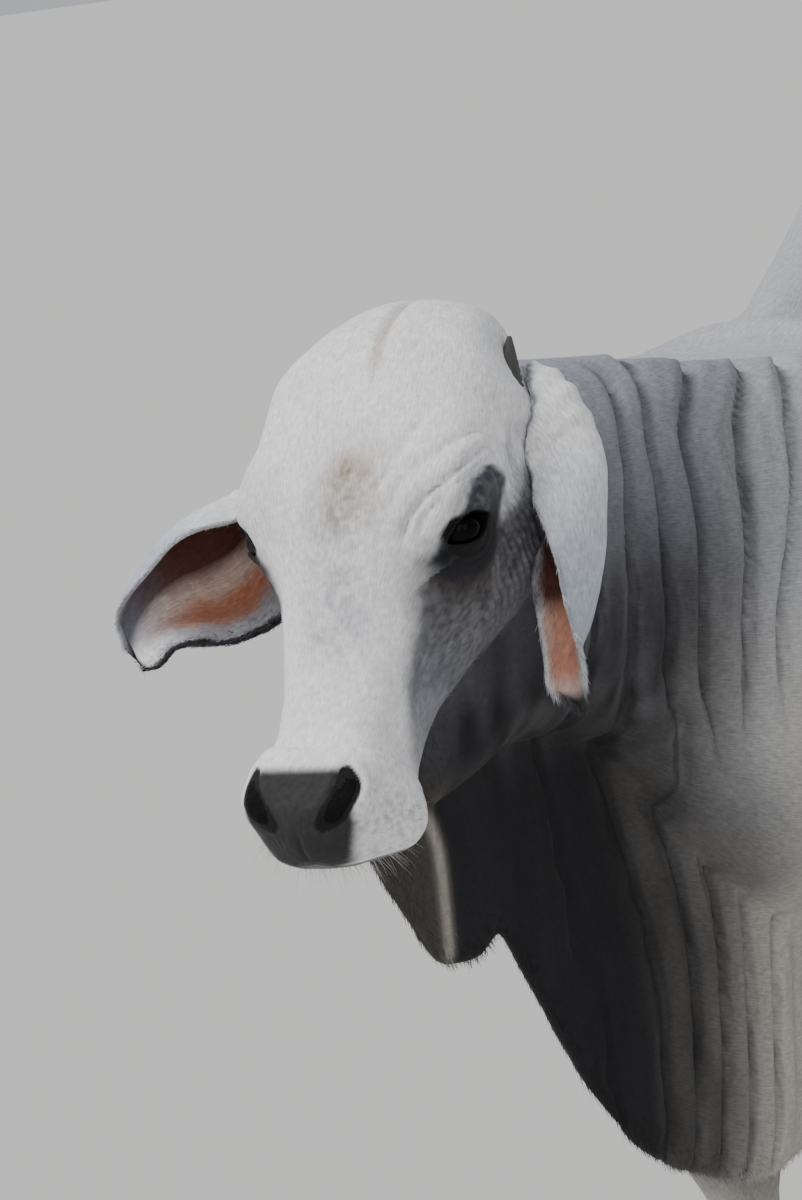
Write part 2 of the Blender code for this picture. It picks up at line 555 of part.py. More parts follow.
def dewclaws(leg, rows, side):
    """Two small horn knobs behind the fetlock."""
    level = 0.128
    x, y, wide, long = smooth_rows([(r[0], *r[1:]) for r in rows], [level])[0]
    y += STEP[leg] * (1.0 - level) / 0.9
    made = []
    for way in (-1, 1):
        centre = np.array([side * x + way * wide * 0.45, y + long * 0.80, level])
        path = centre + np.outer(np.linspace(0, 1, 4), [0.0, 0.020, -0.022])
        radii = DEWCLAW * np.array([0.9, 1.0, 0.8, 0.45])
        made.append(loft_mesh("dewclaw", tube_rings(path, radii, 8)))
    return made


def ear_rings(name, along_count, around):
    """A drooping ear: crescent sections that pass through its two edges and its back.

    At a turn t from -curl to curl, a section's point is the middle of its edges, plus half the
    edge-to-edge vector times sin t / sin curl, plus the way to the back times the share of
    1 - cos curl that cos t - cos curl makes. The sheet is then given its thickness.
    """
    side = 1 if name == "ear_left" else -1
    rows = np.array(EARS[name])
    share = np.linspace(0, 1, along_count)
    table = smooth_rows(np.column_stack([np.linspace(0, 1, len(rows)), rows]), share)
    hidden, back, shown = table[:, None, 0:3], table[:, None, 3:6], table[:, None, 6:9]
    curl = np.radians(table[:, 9])[:, None, None]
    sweep = np.linspace(-1, 1, around // 2)
    turn = sweep[None, :, None] * curl
    middle = (hidden + shown) / 2
    sheet = (middle + (shown - hidden) / 2 * np.sin(turn) / np.sin(curl)
             + (back - middle) * (np.cos(turn) - np.cos(curl)) / (1 - np.cos(curl)))
    inward = np.cross(np.gradient(sheet, axis=0), np.gradient(sheet, axis=1))
    inward /= np.linalg.norm(inward, axis=2)[..., None]
    inward *= np.sign((inward[:, around // 4] * (middle - back)[:, 0]).sum())
    edge = 1 - 0.55 * np.abs(sweep) ** 6
    thick = EAR_THICKNESS * (1 + 1.2 * (1 - share) ** 4)[:, None] * edge[None, :] / 2
    outer = sheet - inward * thick[..., None]
    inner = sheet + inward * thick[..., None]
    ring = np.concatenate([outer, inner[:, ::-1]], axis=1)
    ring[..., 1] *= side
    return from_head(ring)


def horn_solid(side):
    """A short blunt horn that lies back along the poll."""
    flip = np.array([1, side, 1])
    start, end = HORN_ROOT * flip, HORN_TIP * flip
    share = np.linspace(-0.25, 1, 7)[:, None]
    path = start + (end - start) * share + np.array([0, 0, 0.004]) * np.sin(math.pi * np.clip(share, 0, 1))
    radii = HORN_RADIUS * np.array([1.05, 1.0, 0.95, 0.85, 0.68, 0.46, 0.20])
    return loft_mesh("horn_left" if side > 0 else "horn_right", tube_rings(from_head(path), radii, 10), "horn")


def ball(name, centre, radius, finish=None, along=9, around=14):
    """A sphere as rings about its vertical axis."""
    lift = np.linspace(0, math.pi, along + 1)[1:-1]
    turn = np.linspace(0, 2 * math.pi, around, endpoint=False)
    ring = np.stack([np.sin(lift)[:, None] * np.cos(turn), np.sin(lift)[:, None] * np.sin(turn),
                     np.broadcast_to(np.cos(lift)[:, None], (along - 1, around))], axis=2)
    return loft_mesh(name, np.asarray(centre) + radius * ring, finish)


def lid_opening(side):
    """The almond between the lids, as a prism pushed through them along the eye's line of sight."""
    flip = np.array([1, side, 1])
    look = EYE_LOOK * flip / np.linalg.norm(EYE_LOOK)
    corner_line = np.array([-0.62, 0.10, -0.45])
    long = corner_line * flip
    long -= look * (long @ look)
    long /= np.linalg.norm(long)
    tall = np.cross(look, long)
    turn = np.linspace(0, 2 * math.pi, 14, endpoint=False)
    almond = (np.outer(np.cos(turn), long) * 0.0185
              + np.outer(np.sin(turn) * (1 - 0.45 * np.cos(turn) ** 2), tall) * 0.0105)
    depths = np.array([0.2, 2.4]) * EYE_RADIUS
    rings = EYE_PLACE * flip + almond[None] + look * depths[:, None, None]
    return loft_mesh("opening", from_head(rings))


def nostril_cutter(side):
    """A comma-shaped hole: a tapering bean driven into the muzzle."""
    flip = np.array([1, side, 1])
    look = NOSTRIL_LOOK * flip / np.linalg.norm(NOSTRIL_LOOK)
    rows = np.array(NOSTRIL)
    share = np.linspace(0, 1, 7)
    bean = smooth_rows(np.column_stack([np.linspace(0, 1, len(rows)), rows]), share)
    path = bean[:, :3] * flip - look * 0.004
    along = np.gradient(path, axis=0)
    along /= np.linalg.norm(along, axis=1)[:, None]
    across = np.cross(look, along)
    turn = np.linspace(0, 2 * math.pi, 12, endpoint=False)
    rings = (path[:, None] + across[:, None] * (bean[:, 3:, None] * np.cos(turn)[None, :, None])
             + look * (0.022 * np.sin(turn)[None, :, None]))
    return loft_mesh("nostril", from_head(rings))


def mouth_cutter():
    """The line between the lips: a thin wedge bent round the muzzle from corner to corner."""
    turn = np.linspace(-1, 1, 19)
    rows = np.column_stack([np.linspace(0, 1, len(MOUTH)), MOUTH])
    line = smooth_rows(rows, np.abs(turn)) * np.stack([np.ones(19), np.sign(turn), np.ones(19)], axis=1)
    away = (line - np.array([0.46, 0.0, 0.0])) * [1, 1, 0]
    away /= np.linalg.norm(away, axis=1)[:, None]
    outer, inner = line + away * 0.014, line - away * 0.014
    lips = np.array([0.0, 0.0, MOUTH_GAPE])
    rings = np.stack([outer + lips, inner + lips * 0.4, inner - lips * 0.4, outer - lips], axis=1)
    return loft_mesh("mouth", from_head(rings))


def plane_block(name, point, normal, reach=3.0):
    """A large block that fills one side of a plane, the side that the normal points to."""
    normal = Vector(normal).normalized()
    first = normal.orthogonal().normalized()
    second = normal.cross(first)
    corners = []
    for depth in (0.0, reach):
        for u, v in ((-1, -1), (1, -1), (1, 1), (-1, 1)):
            corners.append(Vector(point) + first * (u * reach) + second * (v * reach) + normal * depth)
    faces = ((0, 1, 2, 3), (4, 7, 6, 5), (0, 4, 5, 1), (1, 5, 6, 2), (2, 6, 7, 3), (3, 7, 4, 0))
    return solid(name, corners, faces)


def wedge(name, planes, grow=0.0):
    """The space on the inner side of several planes, each moved out by a margin."""
    first, *others = [(Vector(p) + Vector(n).normalized() * grow, -Vector(n).normalized()) for p, n in planes]
    made = plane_block(name, *first)
    if others:
        combine(made, "INTERSECT", [plane_block("side", *other) for other in others])
    return made


def split_off(whole, name, planes, finish):
    """Cuts the region within the planes from the whole with a thin gap, as its own object."""
    part = copied(whole, name)
    combine(part, "INTERSECT", [wedge("region", planes)])
    combine(whole, "DIFFERENCE", [wedge("region", planes, GAP)])
    part.data.materials.clear()
    part.data.materials.append(material(finish))
    return largest_piece(part)


def switch_locks():
    """The tail's tuft: tapered flat locks rooted in the tail, each lapping over the next."""
    chance = np.random.default_rng(11)
    made = []
    for k in range(SWITCH_LOCKS):
        turn = 2.4 * k
        start = SWITCH_TOP - 0.105 - 0.0015 * k + 0.075 * (k % 4) / 3
        length = (start - SWITCH_TIP) * (0.72 + 0.28 * chance.random())
        away = np.array([math.cos(turn), math.sin(turn)])
        share = np.linspace(0, 1, 6)
        spread = 0.006 + 0.030 * np.sin(math.pi * share ** 0.8) * (0.5 + 0.5 * chance.random())
        y = np.interp(-(start - length * share), [-t[1] for t in TAIL_PATH], [t[0] for t in TAIL_PATH])
        path = np.stack([away[0] * spread, y + away[1] * spread, start - length * share], axis=1)
        width = 0.016 * np.array([0.55, 1.0, 1.0, 0.85, 0.6, 0.16])
        angle = np.linspace(0, 2 * math.pi, 6, endpoint=False)
        side = np.array([-away[1], away[0], 0.0])
        deep = np.array([away[0], away[1], 0.0])
        rings = (path[:, None] + side * (width[:, None, None] * np.cos(angle)[None, :, None])
                 + deep * (0.5 * width[:, None, None] * np.sin(angle)[None, :, None]))
        made.append(loft_mesh("lock", rings))
    return made


def build_flesh():
    """Trunk, head and legs joined whole."""
    spans = ((TRUNK[0][0], -0.75, 10), (-0.75, -0.34, 30), (-0.34, 0.42, 20), (0.42, TRUNK[-1][0], 17))
    places = np.concatenate([np.linspace(start, end, count, endpoint=False) for start, end, count in spans])
    places = np.append(places, TRUNK[-1][0])
    whole = loft_mesh("torso", trunk_rings(places, 18), "coat_light")
    along = np.array([row[0] for row in HEAD])
    places = np.interp(np.linspace(0, 1, 34), np.linspace(0, 1, len(along)), along)
    parts = [loft_mesh("skull", head_rings(places, 17))]
    for side, word in ((1, "left"), (-1, "right")):
        parts.append(leg_solid("foreleg_" + word, FORELEG, side))
        parts.append(leg_solid("hindleg_" + word, HINDLEG, side))
        parts += dewclaws("foreleg_" + word, FORELEG, side)
        parts += dewclaws("hindleg_" + word, HINDLEG, side)
        flip = np.array([1, side, 1])
        parts.append(ball("lids", from_head(EYE_PLACE * flip), EYE_RADIUS + LID_THICKNESS))
    parts.append(spine_solid("tail", [(y, z, radius, radius) for y, z, radius in TAIL_PATH], 22, 10))
    parts += [spine_solid("sheath", SHEATH), spine_solid("scrotum", SCROTUM)]
    return combine(whole, "UNION", parts)


def spine_solid(name, rows, rings=12, around=12):
    """A tube along a path in the middle plane, from rows of y, z, half width and half depth."""
    knots = np.linspace(0, 1, len(rows))
    y, z, wide, deep = smooth_rows(np.column_stack([knots, rows]), np.linspace(0, 1, rings)).T
    path = np.stack([np.zeros_like(y), y, z], axis=1)
    return loft_mesh(name, tube_rings(path, np.stack([wide, deep], axis=1), around))


def leg_region(rows, side, level):
    """A box round one lower leg, up to its cut."""
    y = rows[-1][2]
    return (((0.0, 0.0, level), (0.0, 0.0, 1.0)), ((side * 0.075, 0.0, 0.0), (-side, 0.0, 0.0)),
            ((0.0, y - 0.32, 0.0), (0.0, -1.0, 0.0)), ((0.0, y + 0.30, 0.0), (0.0, 1.0, 0.0)))


def part_flesh(whole):
    """The joined flesh parted into named pieces by thin cuts."""
    pieces = {"head": split_off(whole, "head", HEAD_REAR, "coat_light")}
    pieces["dewlap"] = split_off(whole, "dewlap", DEWLAP_CUT, "coat_dark")
    pieces["neck"] = split_off(whole, "neck", NECK_CUT, "coat_grey")
    pieces["hump"] = split_off(whole, "hump", HUMP_CUT, "coat_grey")
    for side, word in ((1, "left"), (-1, "right")):
        for kind, rows in (("fore", FORELEG), ("hind", HINDLEG)):
            name = kind + "leg_" + word
            pieces[name] = split_off(whole, name, leg_region(rows, side, LEG_CUT[kind]), "coat_light")
    pieces["tail"] = split_off(whole, "tail", TAIL_CUT, "coat_grey")
    largest_piece(whole)
    return pieces


def carve_face(head):
    """Eye sockets, the opening between the lids, nostrils and the line of the mouth, cut from the head."""
    cutters = [mouth_cutter()]
    for side in (1, -1):
        flip = np.array([1, side, 1])
        cutters.append(ball("socket", from_head(EYE_PLACE * flip), EYE_RADIUS + GAP))
        cutters.append(lid_opening(side))
        cutters.append(nostril_cutter(side))
    for cutter in cutters:
        combine(head, "DIFFERENCE", [cutter])
    largest_piece(head)


def grow(made, margin):
    """A copy of the object with its surface moved out by a margin."""
    twin = copied(made, "grown")
    mesh = twin.data
    points = np.empty(len(mesh.vertices) * 3, np.float32)
    normals = np.empty(len(mesh.vertices) * 3, np.float32)
    mesh.vertices.foreach_get("co", points)
    mesh.vertex_normals.foreach_get("vector", normals)
    mesh.vertices.foreach_set("co", points + normals * margin)
    return twin


def add_head_pieces(head, neck):
    """Ears, horns and eyes, each cut back so that it meets the flesh face to face."""
    for side, word in ((1, "left"), (-1, "right")):
        flip = np.array([1, side, 1])
        horn = horn_solid(side)
        ear = loft_mesh("ear_" + word, ear_rings("ear_" + word, 15, 16), "coat_light")
        for piece in (horn, ear):
            combine(piece, "DIFFERENCE", [grow(head, 2 * GAP), grow(neck, 2 * GAP)])
            largest_piece(piece)
        combine(ear, "DIFFERENCE", [grow(horn, 2 * GAP)])
        largest_piece(ear)
        ball("eye_" + word, from_head(EYE_PLACE * flip), EYE_RADIUS, "eye")


def recentre():
    """Moves the whole animal so that its box stands centred on the origin."""
    shown = [o for o in bpy.context.scene.objects if o.type == "MESH"]
    corners = np.array([v.co for o in shown for v in o.data.vertices])
    low, high = corners.min(axis=0), corners.max(axis=0)
    shift = Vector(((low[0] + high[0]) / -2, (low[1] + high[1]) / -2, 0.0))
    for made in shown:
        for vert in made.data.vertices:
            vert.co += shift


def main():
    for old in list(bpy.data.objects):
        bpy.data.objects.remove(old)
    whole = build_flesh()
    pieces = part_flesh(whole)
    carve_face(pieces["head"])
    add_head_pieces(pieces["head"], pieces["neck"])
    combine(pieces["tail"], "UNION", switch_locks())
    largest_piece(pieces["tail"])
    for side, word in ((1, "left"), (-1, "right")):
        hooves("foreleg_" + word, FORELEG, side)
        hooves("hindleg_" + word, HINDLEG, side)
    recentre()
    for made in bpy.context.scene.objects:
        made.data.shade_smooth()
        made.data.set_sharp_from_angle(angle=math.radians(50))


main()
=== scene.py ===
"""The looks of a life-size Brahman bull that stands still: its skin, coat, eyes, horns and hooves.

The animal faces -Y with its own left side at +X. Sizes are metres and colours are sRGB hex.
Shapes are worked out in the maker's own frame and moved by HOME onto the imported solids.
"""

import math

import bpy
import numpy as np
from mathutils import Matrix, Vector


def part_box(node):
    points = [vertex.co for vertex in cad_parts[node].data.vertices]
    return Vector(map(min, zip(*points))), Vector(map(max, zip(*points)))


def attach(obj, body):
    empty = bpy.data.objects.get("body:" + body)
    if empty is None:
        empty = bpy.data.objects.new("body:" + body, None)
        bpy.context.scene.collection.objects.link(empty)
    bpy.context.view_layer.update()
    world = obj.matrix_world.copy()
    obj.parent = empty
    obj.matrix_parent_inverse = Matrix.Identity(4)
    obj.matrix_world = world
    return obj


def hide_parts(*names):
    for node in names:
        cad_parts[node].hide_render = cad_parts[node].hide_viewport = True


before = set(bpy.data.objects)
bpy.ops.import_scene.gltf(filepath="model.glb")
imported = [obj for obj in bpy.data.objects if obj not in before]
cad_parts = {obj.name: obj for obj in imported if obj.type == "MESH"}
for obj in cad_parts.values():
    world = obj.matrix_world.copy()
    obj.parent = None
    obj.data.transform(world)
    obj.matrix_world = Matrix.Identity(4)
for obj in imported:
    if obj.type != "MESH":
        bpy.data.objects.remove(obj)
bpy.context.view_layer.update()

# The head hangs from the poll: pitch below the horizon, and turn towards the animal's left.
POLL = np.array([0.023, -0.829, 1.455])
HEAD_PITCH = math.radians(55.6)
HEAD_TURN = math.radians(10.0)
EYE_PLACE = np.array([0.226, 0.104, -0.034])
EYE_RADIUS = 0.021
EYE_LOOK = np.array([0.10, 0.93, 0.36])
LID_REACH = EYE_RADIUS + 0.0045
LID_LINE = np.array([-0.62, 0.10, -0.45])

# Part numbers that each surface carries, so that joins and markings know where they are.
(TRUNK_PART, HEAD_PART, FORE_PART, HIND_PART, TAIL_PART,
 EAR_LEFT_PART, EAR_RIGHT_PART, SMALL_PART, HOLE_PART) = range(1, 10)
EAR_PARTS = (EAR_LEFT_PART, EAR_RIGHT_PART)
LEG_PARTS = (FORE_PART, HIND_PART)
SOLID_PARTS = np.arange(TRUNK_PART, HOLE_PART)
SIDES = ((1, "left"), (-1, "right"))

# y, top, bottom, then the core's centre height, half height and half width,
# and the half thickness of the fold below it and of the crest above it.
TRUNK = (
    (-0.960, 1.050, 0.985, 1.015, 0.030, 0.012, 0.008, 0.008),
    (-0.940, 1.085, 0.945, 1.020, 0.050, 0.024, 0.012, 0.014),
    (-0.900, 1.160, 0.872, 1.050, 0.090, 0.046, 0.014, 0.030),
    (-0.855, 1.255, 0.812, 1.100, 0.130, 0.068, 0.016, 0.045),
    (-0.805, 1.330, 0.804, 1.150, 0.165, 0.092, 0.018, 0.060),
    (-0.765, 1.362, 0.818, 1.180, 0.178, 0.108, 0.018, 0.066),
    (-0.733, 1.368, 0.772, 1.185, 0.182, 0.114, 0.017, 0.068),
    (-0.685, 1.366, 0.686, 1.185, 0.186, 0.120, 0.017, 0.070),
    (-0.634, 1.363, 0.606, 1.178, 0.194, 0.126, 0.019, 0.070),
    (-0.580, 1.360, 0.540, 1.160, 0.214, 0.135, 0.024, 0.071),
    (-0.530, 1.350, 0.504, 1.130, 0.248, 0.148, 0.033, 0.072),
    (-0.470, 1.336, 0.476, 1.092, 0.280, 0.170, 0.050, 0.070),
    (-0.400, 1.325, 0.456, 1.056, 0.306, 0.196, 0.066, 0.070),
    (-0.320, 1.317, 0.470, 1.028, 0.326, 0.222, 0.080, 0.070),
    (-0.245, 1.328, 0.512, 1.010, 0.338, 0.242, 0.100, 0.074),
    (-0.205, 1.350, 0.540, 1.004, 0.342, 0.250, 0.110, 0.078),
    (-0.165, 1.374, 0.560, 0.998, 0.344, 0.258, 0.120, 0.084),
    (-0.130, 1.393, 0.574, 0.996, 0.346, 0.264, 0.126, 0.090),
    (-0.080, 1.424, 0.588, 0.992, 0.350, 0.272, 0.132, 0.098),
    (-0.030, 1.458, 0.595, 0.988, 0.354, 0.280, 0.136, 0.106),
    (0.030, 1.500, 0.600, 0.986, 0.358, 0.290, 0.142, 0.112),
    (0.090, 1.537, 0.603, 0.986, 0.364, 0.300, 0.148, 0.114),
    (0.150, 1.555, 0.604, 0.987, 0.370, 0.309, 0.152, 0.110),
    (0.210, 1.550, 0.604, 0.989, 0.376, 0.316, 0.154, 0.104),
    (0.270, 1.508, 0.606, 0.992, 0.378, 0.321, 0.152, 0.096),
    (0.330, 1.448, 0.610, 0.997, 0.378, 0.324, 0.146, 0.090),
    (0.390, 1.404, 0.616, 1.003, 0.380, 0.324, 0.138, 0.086),
    (0.480, 1.390, 0.632, 1.016, 0.370, 0.318, 0.128, 0.086),
    (0.580, 1.398, 0.660, 1.038, 0.352, 0.303, 0.120, 0.092),
    (0.690, 1.410, 0.706, 1.066, 0.328, 0.282, 0.122, 0.102),
    (0.800, 1.410, 0.760, 1.094, 0.300, 0.260, 0.128, 0.108),
    (0.910, 1.392, 0.816, 1.116, 0.266, 0.232, 0.118, 0.100),
    (1.000, 1.354, 0.880, 1.128, 0.220, 0.188, 0.090, 0.076),
    (1.068, 1.294, 0.958, 1.130, 0.154, 0.132, 0.055, 0.050),
    (1.100, 1.212, 1.050, 1.130, 0.078, 0.070, 0.030, 0.028),
)
CORE_POWER = 2.4
FOLD_POWER = 3.0
NECK_CREST_POWER = 2.6
HUMP_CREST_POWER = 4.2
BLEND_POWER = 3.5
# How finely the trunk is cut from front to back: start, end and count of sections of each span.
TRUNK_SPANS = ((-0.960, -0.80, 26), (-0.80, -0.20, 200), (-0.20, 0.10, 28), (0.10, 1.0, 60), (1.0, 1.100, 14))

# Creases between the rolls of loose neck skin: how far back each lies at these heights.
FOLD_HEIGHTS = (1.34, 1.26, 1.16, 1.06, 0.96, 0.86, 0.74, 0.56)
FOLDS = (
    (-0.712, -0.732, -0.745, -0.748, -0.750, -0.757, -0.764, -0.764),
    (-0.645, -0.668, -0.692, -0.692, -0.680, -0.665, -0.640, -0.610),
    (-0.586, -0.625, -0.642, -0.638, -0.602, -0.579, -0.557, -0.550),
    (-0.548, -0.588, -0.594, -0.591, -0.556, -0.526, -0.513, -0.516),
    (-0.466, -0.542, -0.549, -0.556, -0.532, -0.498, -0.480, -0.485),
    (-0.385, -0.462, -0.486, -0.505, -0.508, -0.472, -0.448, -0.450),
    (-0.320, -0.398, -0.440, -0.470, -0.474, -0.440, -0.408, -0.410),
    (-0.240, -0.320, -0.376, -0.420, -0.436, -0.404, -0.370, -0.370),
)
FOLD_DEPTH = 0.014

# Distance from the poll along the face, then the height of the face line and of the jaw line above the
# poll-to-nose chord, half width, share of the height where it is widest, and two powers: brow and jaw.
HEAD = (
    (-0.040, -0.082, -0.130, 0.038, 0.50, 2.0, 2.0),
    (-0.028, -0.046, -0.165, 0.067, 0.55, 2.0, 2.0),
    (-0.004, -0.017, -0.195, 0.090, 0.60, 2.2, 2.0),
    (0.036, 0.007, -0.222, 0.112, 0.62, 2.4, 2.1),
    (0.087, 0.022, -0.243, 0.127, 0.62, 2.6, 2.2),
    (0.150, 0.031, -0.250, 0.131, 0.63, 2.7, 2.3),
    (0.205, 0.029, -0.238, 0.123, 0.64, 2.7, 2.4),
    (0.260, 0.016, -0.212, 0.104, 0.64, 2.6, 2.5),
    (0.320, -0.002, -0.180, 0.080, 0.60, 2.6, 2.5),
    (0.380, -0.011, -0.153, 0.065, 0.54, 2.7, 2.6),
    (0.425, -0.013, -0.140, 0.062, 0.48, 2.8, 2.6),
    (0.443, -0.009, -0.138, 0.064, 0.46, 2.9, 2.6),
    (0.457, -0.002, -0.136, 0.069, 0.44, 3.0, 2.6),
    (0.480, 0.001, -0.133, 0.071, 0.42, 2.8, 2.4),
    (0.508, -0.002, -0.124, 0.068, 0.42, 2.6, 2.2),
    (0.528, -0.012, -0.106, 0.058, 0.45, 2.3, 2.0),
    (0.542, -0.027, -0.086, 0.042, 0.50, 2.0, 2.0),
    (0.549, -0.042, -0.068, 0.020, 0.50, 2.0, 2.0),
)
# The head's spans in the same way, then the points over half a section of the trunk and of the head,
# the samples that they are evened from, and the rings and points of a leg and of an ear.
HEAD_SPANS = ((-0.040, 0.120, 54), (0.120, 0.290, 96), (0.290, 0.430, 44), (0.430, 0.549, 60))
TRUNK_POINTS = 118
HEAD_POINTS = 140
SECTION_SAMPLES = 260
LEG_RINGS = 74
LEG_POINTS = 30
EAR_RINGS = 76
EAR_POINTS = 56

# Swellings and hollows of the head: centre and reach as along, out and up, then the push.
HEAD_FORMS = {
    "brow ridge": ((0.195, 0.112, -0.008), (0.050, 0.035, 0.035), (0.0, 0.010, 0.010)),
    "eye bulge": ((0.228, 0.112, -0.036), (0.036, 0.040, 0.030), (0.0, 0.008, 0.002)),
    "tear hollow": ((0.285, 0.090, -0.020), (0.035, 0.040, 0.022), (0.0, -0.009, 0.0)),
    "temple hollow": ((0.120, 0.130, -0.085), (0.045, 0.050, 0.032), (0.0, -0.013, 0.0)),
    "cheek bone": ((0.270, 0.100, -0.070), (0.070, 0.050, 0.018), (0.0, 0.007, 0.0)),
    "cheek muscle": ((0.190, 0.115, -0.165), (0.075, 0.060, 0.055), (0.0, 0.012, 0.0)),
    "cheek hollow": ((0.355, 0.080, -0.095), (0.045, 0.050, 0.035), (0.0, -0.010, 0.0)),
    "nostril wing": ((0.500, 0.060, -0.012), (0.026, 0.026, 0.022), (0.006, 0.010, 0.006)),
    "upper lip": ((0.494, 0.072, -0.084), (0.036, 0.040, 0.028), (0.004, 0.018, -0.007)),
    "lower lip": ((0.552, 0.000, -0.088), (0.030, 0.070, 0.020), (-0.005, 0.0, 0.0)),
    "horn hollow": ((0.020, 0.105, -0.075), (0.042, 0.035, 0.036), (0.0, -0.010, 0.0)),
    "chin groove": ((0.470, 0.060, -0.128), (0.030, 0.060, 0.012), (0.0, -0.010, 0.0)),
    "forehead crown": ((0.060, 0.000, 0.020), (0.070, 0.080, 0.060), (0.0, 0.0, 0.006)),
}

# Swellings and hollows of the body: centre, reach and push, mirrored to the right side.
BODY_FORMS = {
    "shoulder point": ((0.145, -0.440, 0.810), (0.085, 0.085, 0.105), (0.034, -0.066, 0.0)),
    "shoulder blade": ((0.240, -0.180, 1.080), (0.080, 0.090, 0.170), (0.022, 0.0, 0.0)),
    "behind shoulder": ((0.290, 0.030, 1.000), (0.080, 0.050, 0.180), (-0.016, 0.0, 0.0)),
    "flank hollow": ((0.290, 0.580, 1.190), (0.090, 0.080, 0.080), (-0.036, 0.0, -0.006)),
    "hook bone": ((0.250, 0.690, 1.300), (0.060, 0.055, 0.045), (0.026, 0.0, 0.014)),
    "pin bone": ((0.110, 1.030, 1.240), (0.050, 0.045, 0.045), (0.012, 0.026, 0.008)),
    "thigh": ((0.220, 0.840, 1.020), (0.090, 0.150, 0.150), (0.022, 0.0, 0.0)),
}

# The left nostril's middle line from its outer end, with half its width.
NOSTRIL = ((0.477, 0.049, -0.004, 0.0075), (0.489, 0.052, -0.006, 0.0120), (0.503, 0.047, -0.007, 0.0130),
           (0.515, 0.038, -0.009, 0.0120), (0.523, 0.027, -0.013, 0.0075))
NOSTRIL_LOOK = np.array([0.40, 0.35, 0.85])

# The mouth's line from the middle of the lips to the left corner: along, out and up.
MOUTH = ((0.549, 0.000, -0.053), (0.545, 0.030, -0.058), (0.532, 0.058, -0.074), (0.513, 0.078, -0.093),
         (0.482, 0.084, -0.108), (0.446, 0.078, -0.118))
MOUTH_GAPE = 0.0020
MOUTH_MIDDLE = np.array([0.46, 0.0, 0.0])

# z, x, y, half width, half length of each leg's sections, from the body down.
HOOF_TOP = 0.085
FORELEG = (
    (1.140, 0.150, -0.180, 0.030, 0.060),
    (1.040, 0.172, -0.230, 0.060, 0.120),
    (0.920, 0.188, -0.280, 0.080, 0.158),
    (0.800, 0.192, -0.275, 0.082, 0.148),
    (0.700, 0.187, -0.240, 0.067, 0.106),
    (0.610, 0.182, -0.222, 0.055, 0.076),
    (0.520, 0.179, -0.218, 0.046, 0.058),
    (0.460, 0.177, -0.222, 0.046, 0.051),
    (0.410, 0.176, -0.224, 0.050, 0.054),
    (0.355, 0.176, -0.218, 0.038, 0.043),
    (0.270, 0.176, -0.216, 0.032, 0.037),
    (0.200, 0.176, -0.218, 0.035, 0.040),
    (0.160, 0.176, -0.222, 0.043, 0.047),
    (0.118, 0.176, -0.234, 0.038, 0.041),
    (HOOF_TOP, 0.176, -0.244, 0.047, 0.051),
)
HINDLEG = (
    (1.160, 0.100, 0.790, 0.030, 0.060),
    (1.050, 0.136, 0.800, 0.078, 0.140),
    (0.930, 0.158, 0.800, 0.092, 0.182),
    (0.810, 0.172, 0.812, 0.086, 0.184),
    (0.710, 0.174, 0.866, 0.066, 0.136),
    (0.630, 0.172, 0.926, 0.050, 0.092),
    (0.565, 0.170, 0.970, 0.043, 0.070),
    (0.505, 0.170, 0.978, 0.045, 0.063),
    (0.440, 0.170, 0.961, 0.037, 0.050),
    (0.340, 0.170, 0.940, 0.033, 0.042),
    (0.220, 0.170, 0.918, 0.036, 0.042),
    (0.165, 0.170, 0.908, 0.043, 0.048),
    (0.118, 0.170, 0.890, 0.038, 0.042),
    (HOOF_TOP, 0.170, 0.876, 0.047, 0.052),
)
KNEE_HEIGHT = 0.410
HOCK_HEIGHT = 0.505
LEGS = {"fore": (FORELEG, FORE_PART), "hind": (HINDLEG, HIND_PART)}
# How far each hoof stands behind its place. A leg takes its step from the top down, over the reach.
STEP = {"foreleg_left": -0.03, "foreleg_right": 0.03, "hindleg_left": 0.02, "hindleg_right": -0.10}
STEP_TOP = 1.0
STEP_REACH = 0.9
CLAW_LENGTH = 0.124
CLAW_WIDTH = 0.049
CLAW_SPREAD = 0.0262
DEWCLAW = 0.016
DEWCLAW_HEIGHT = 0.128
# Powers of the squared circles: 2 is round, and more is squarer.
LEG_SQUARENESS = 2.4
CLAW_SQUARENESS = 2.8

# The tail's y, z and radius; and y, z, half width and half depth down the sheath and the scrotum.
TAIL_PATH = ((0.990, 1.312, 0.036), (1.053, 1.300, 0.038), (1.108, 1.264, 0.034), (1.136, 1.190, 0.029),
             (1.147, 1.080, 0.024), (1.152, 0.940, 0.020), (1.156, 0.800, 0.017), (1.159, 0.680, 0.016),
             (1.161, 0.600, 0.012))
SHEATH = ((0.210, 0.680, 0.040, 0.105), (0.260, 0.610, 0.034, 0.088), (0.292, 0.560, 0.028, 0.062),
          (0.312, 0.520, 0.023, 0.042), (0.324, 0.494, 0.016, 0.026), (0.328, 0.484, 0.006, 0.010))
SCROTUM = ((0.810, 0.860, 0.050, 0.070), (0.815, 0.760, 0.034, 0.038), (0.820, 0.680, 0.046, 0.043),
           (0.822, 0.620, 0.054, 0.049), (0.824, 0.578, 0.044, 0.040), (0.824, 0.556, 0.018, 0.016))
SWITCH_TOP = 0.690
SWITCH_TIP = 0.312
SWITCH_ROOTS = 0.11

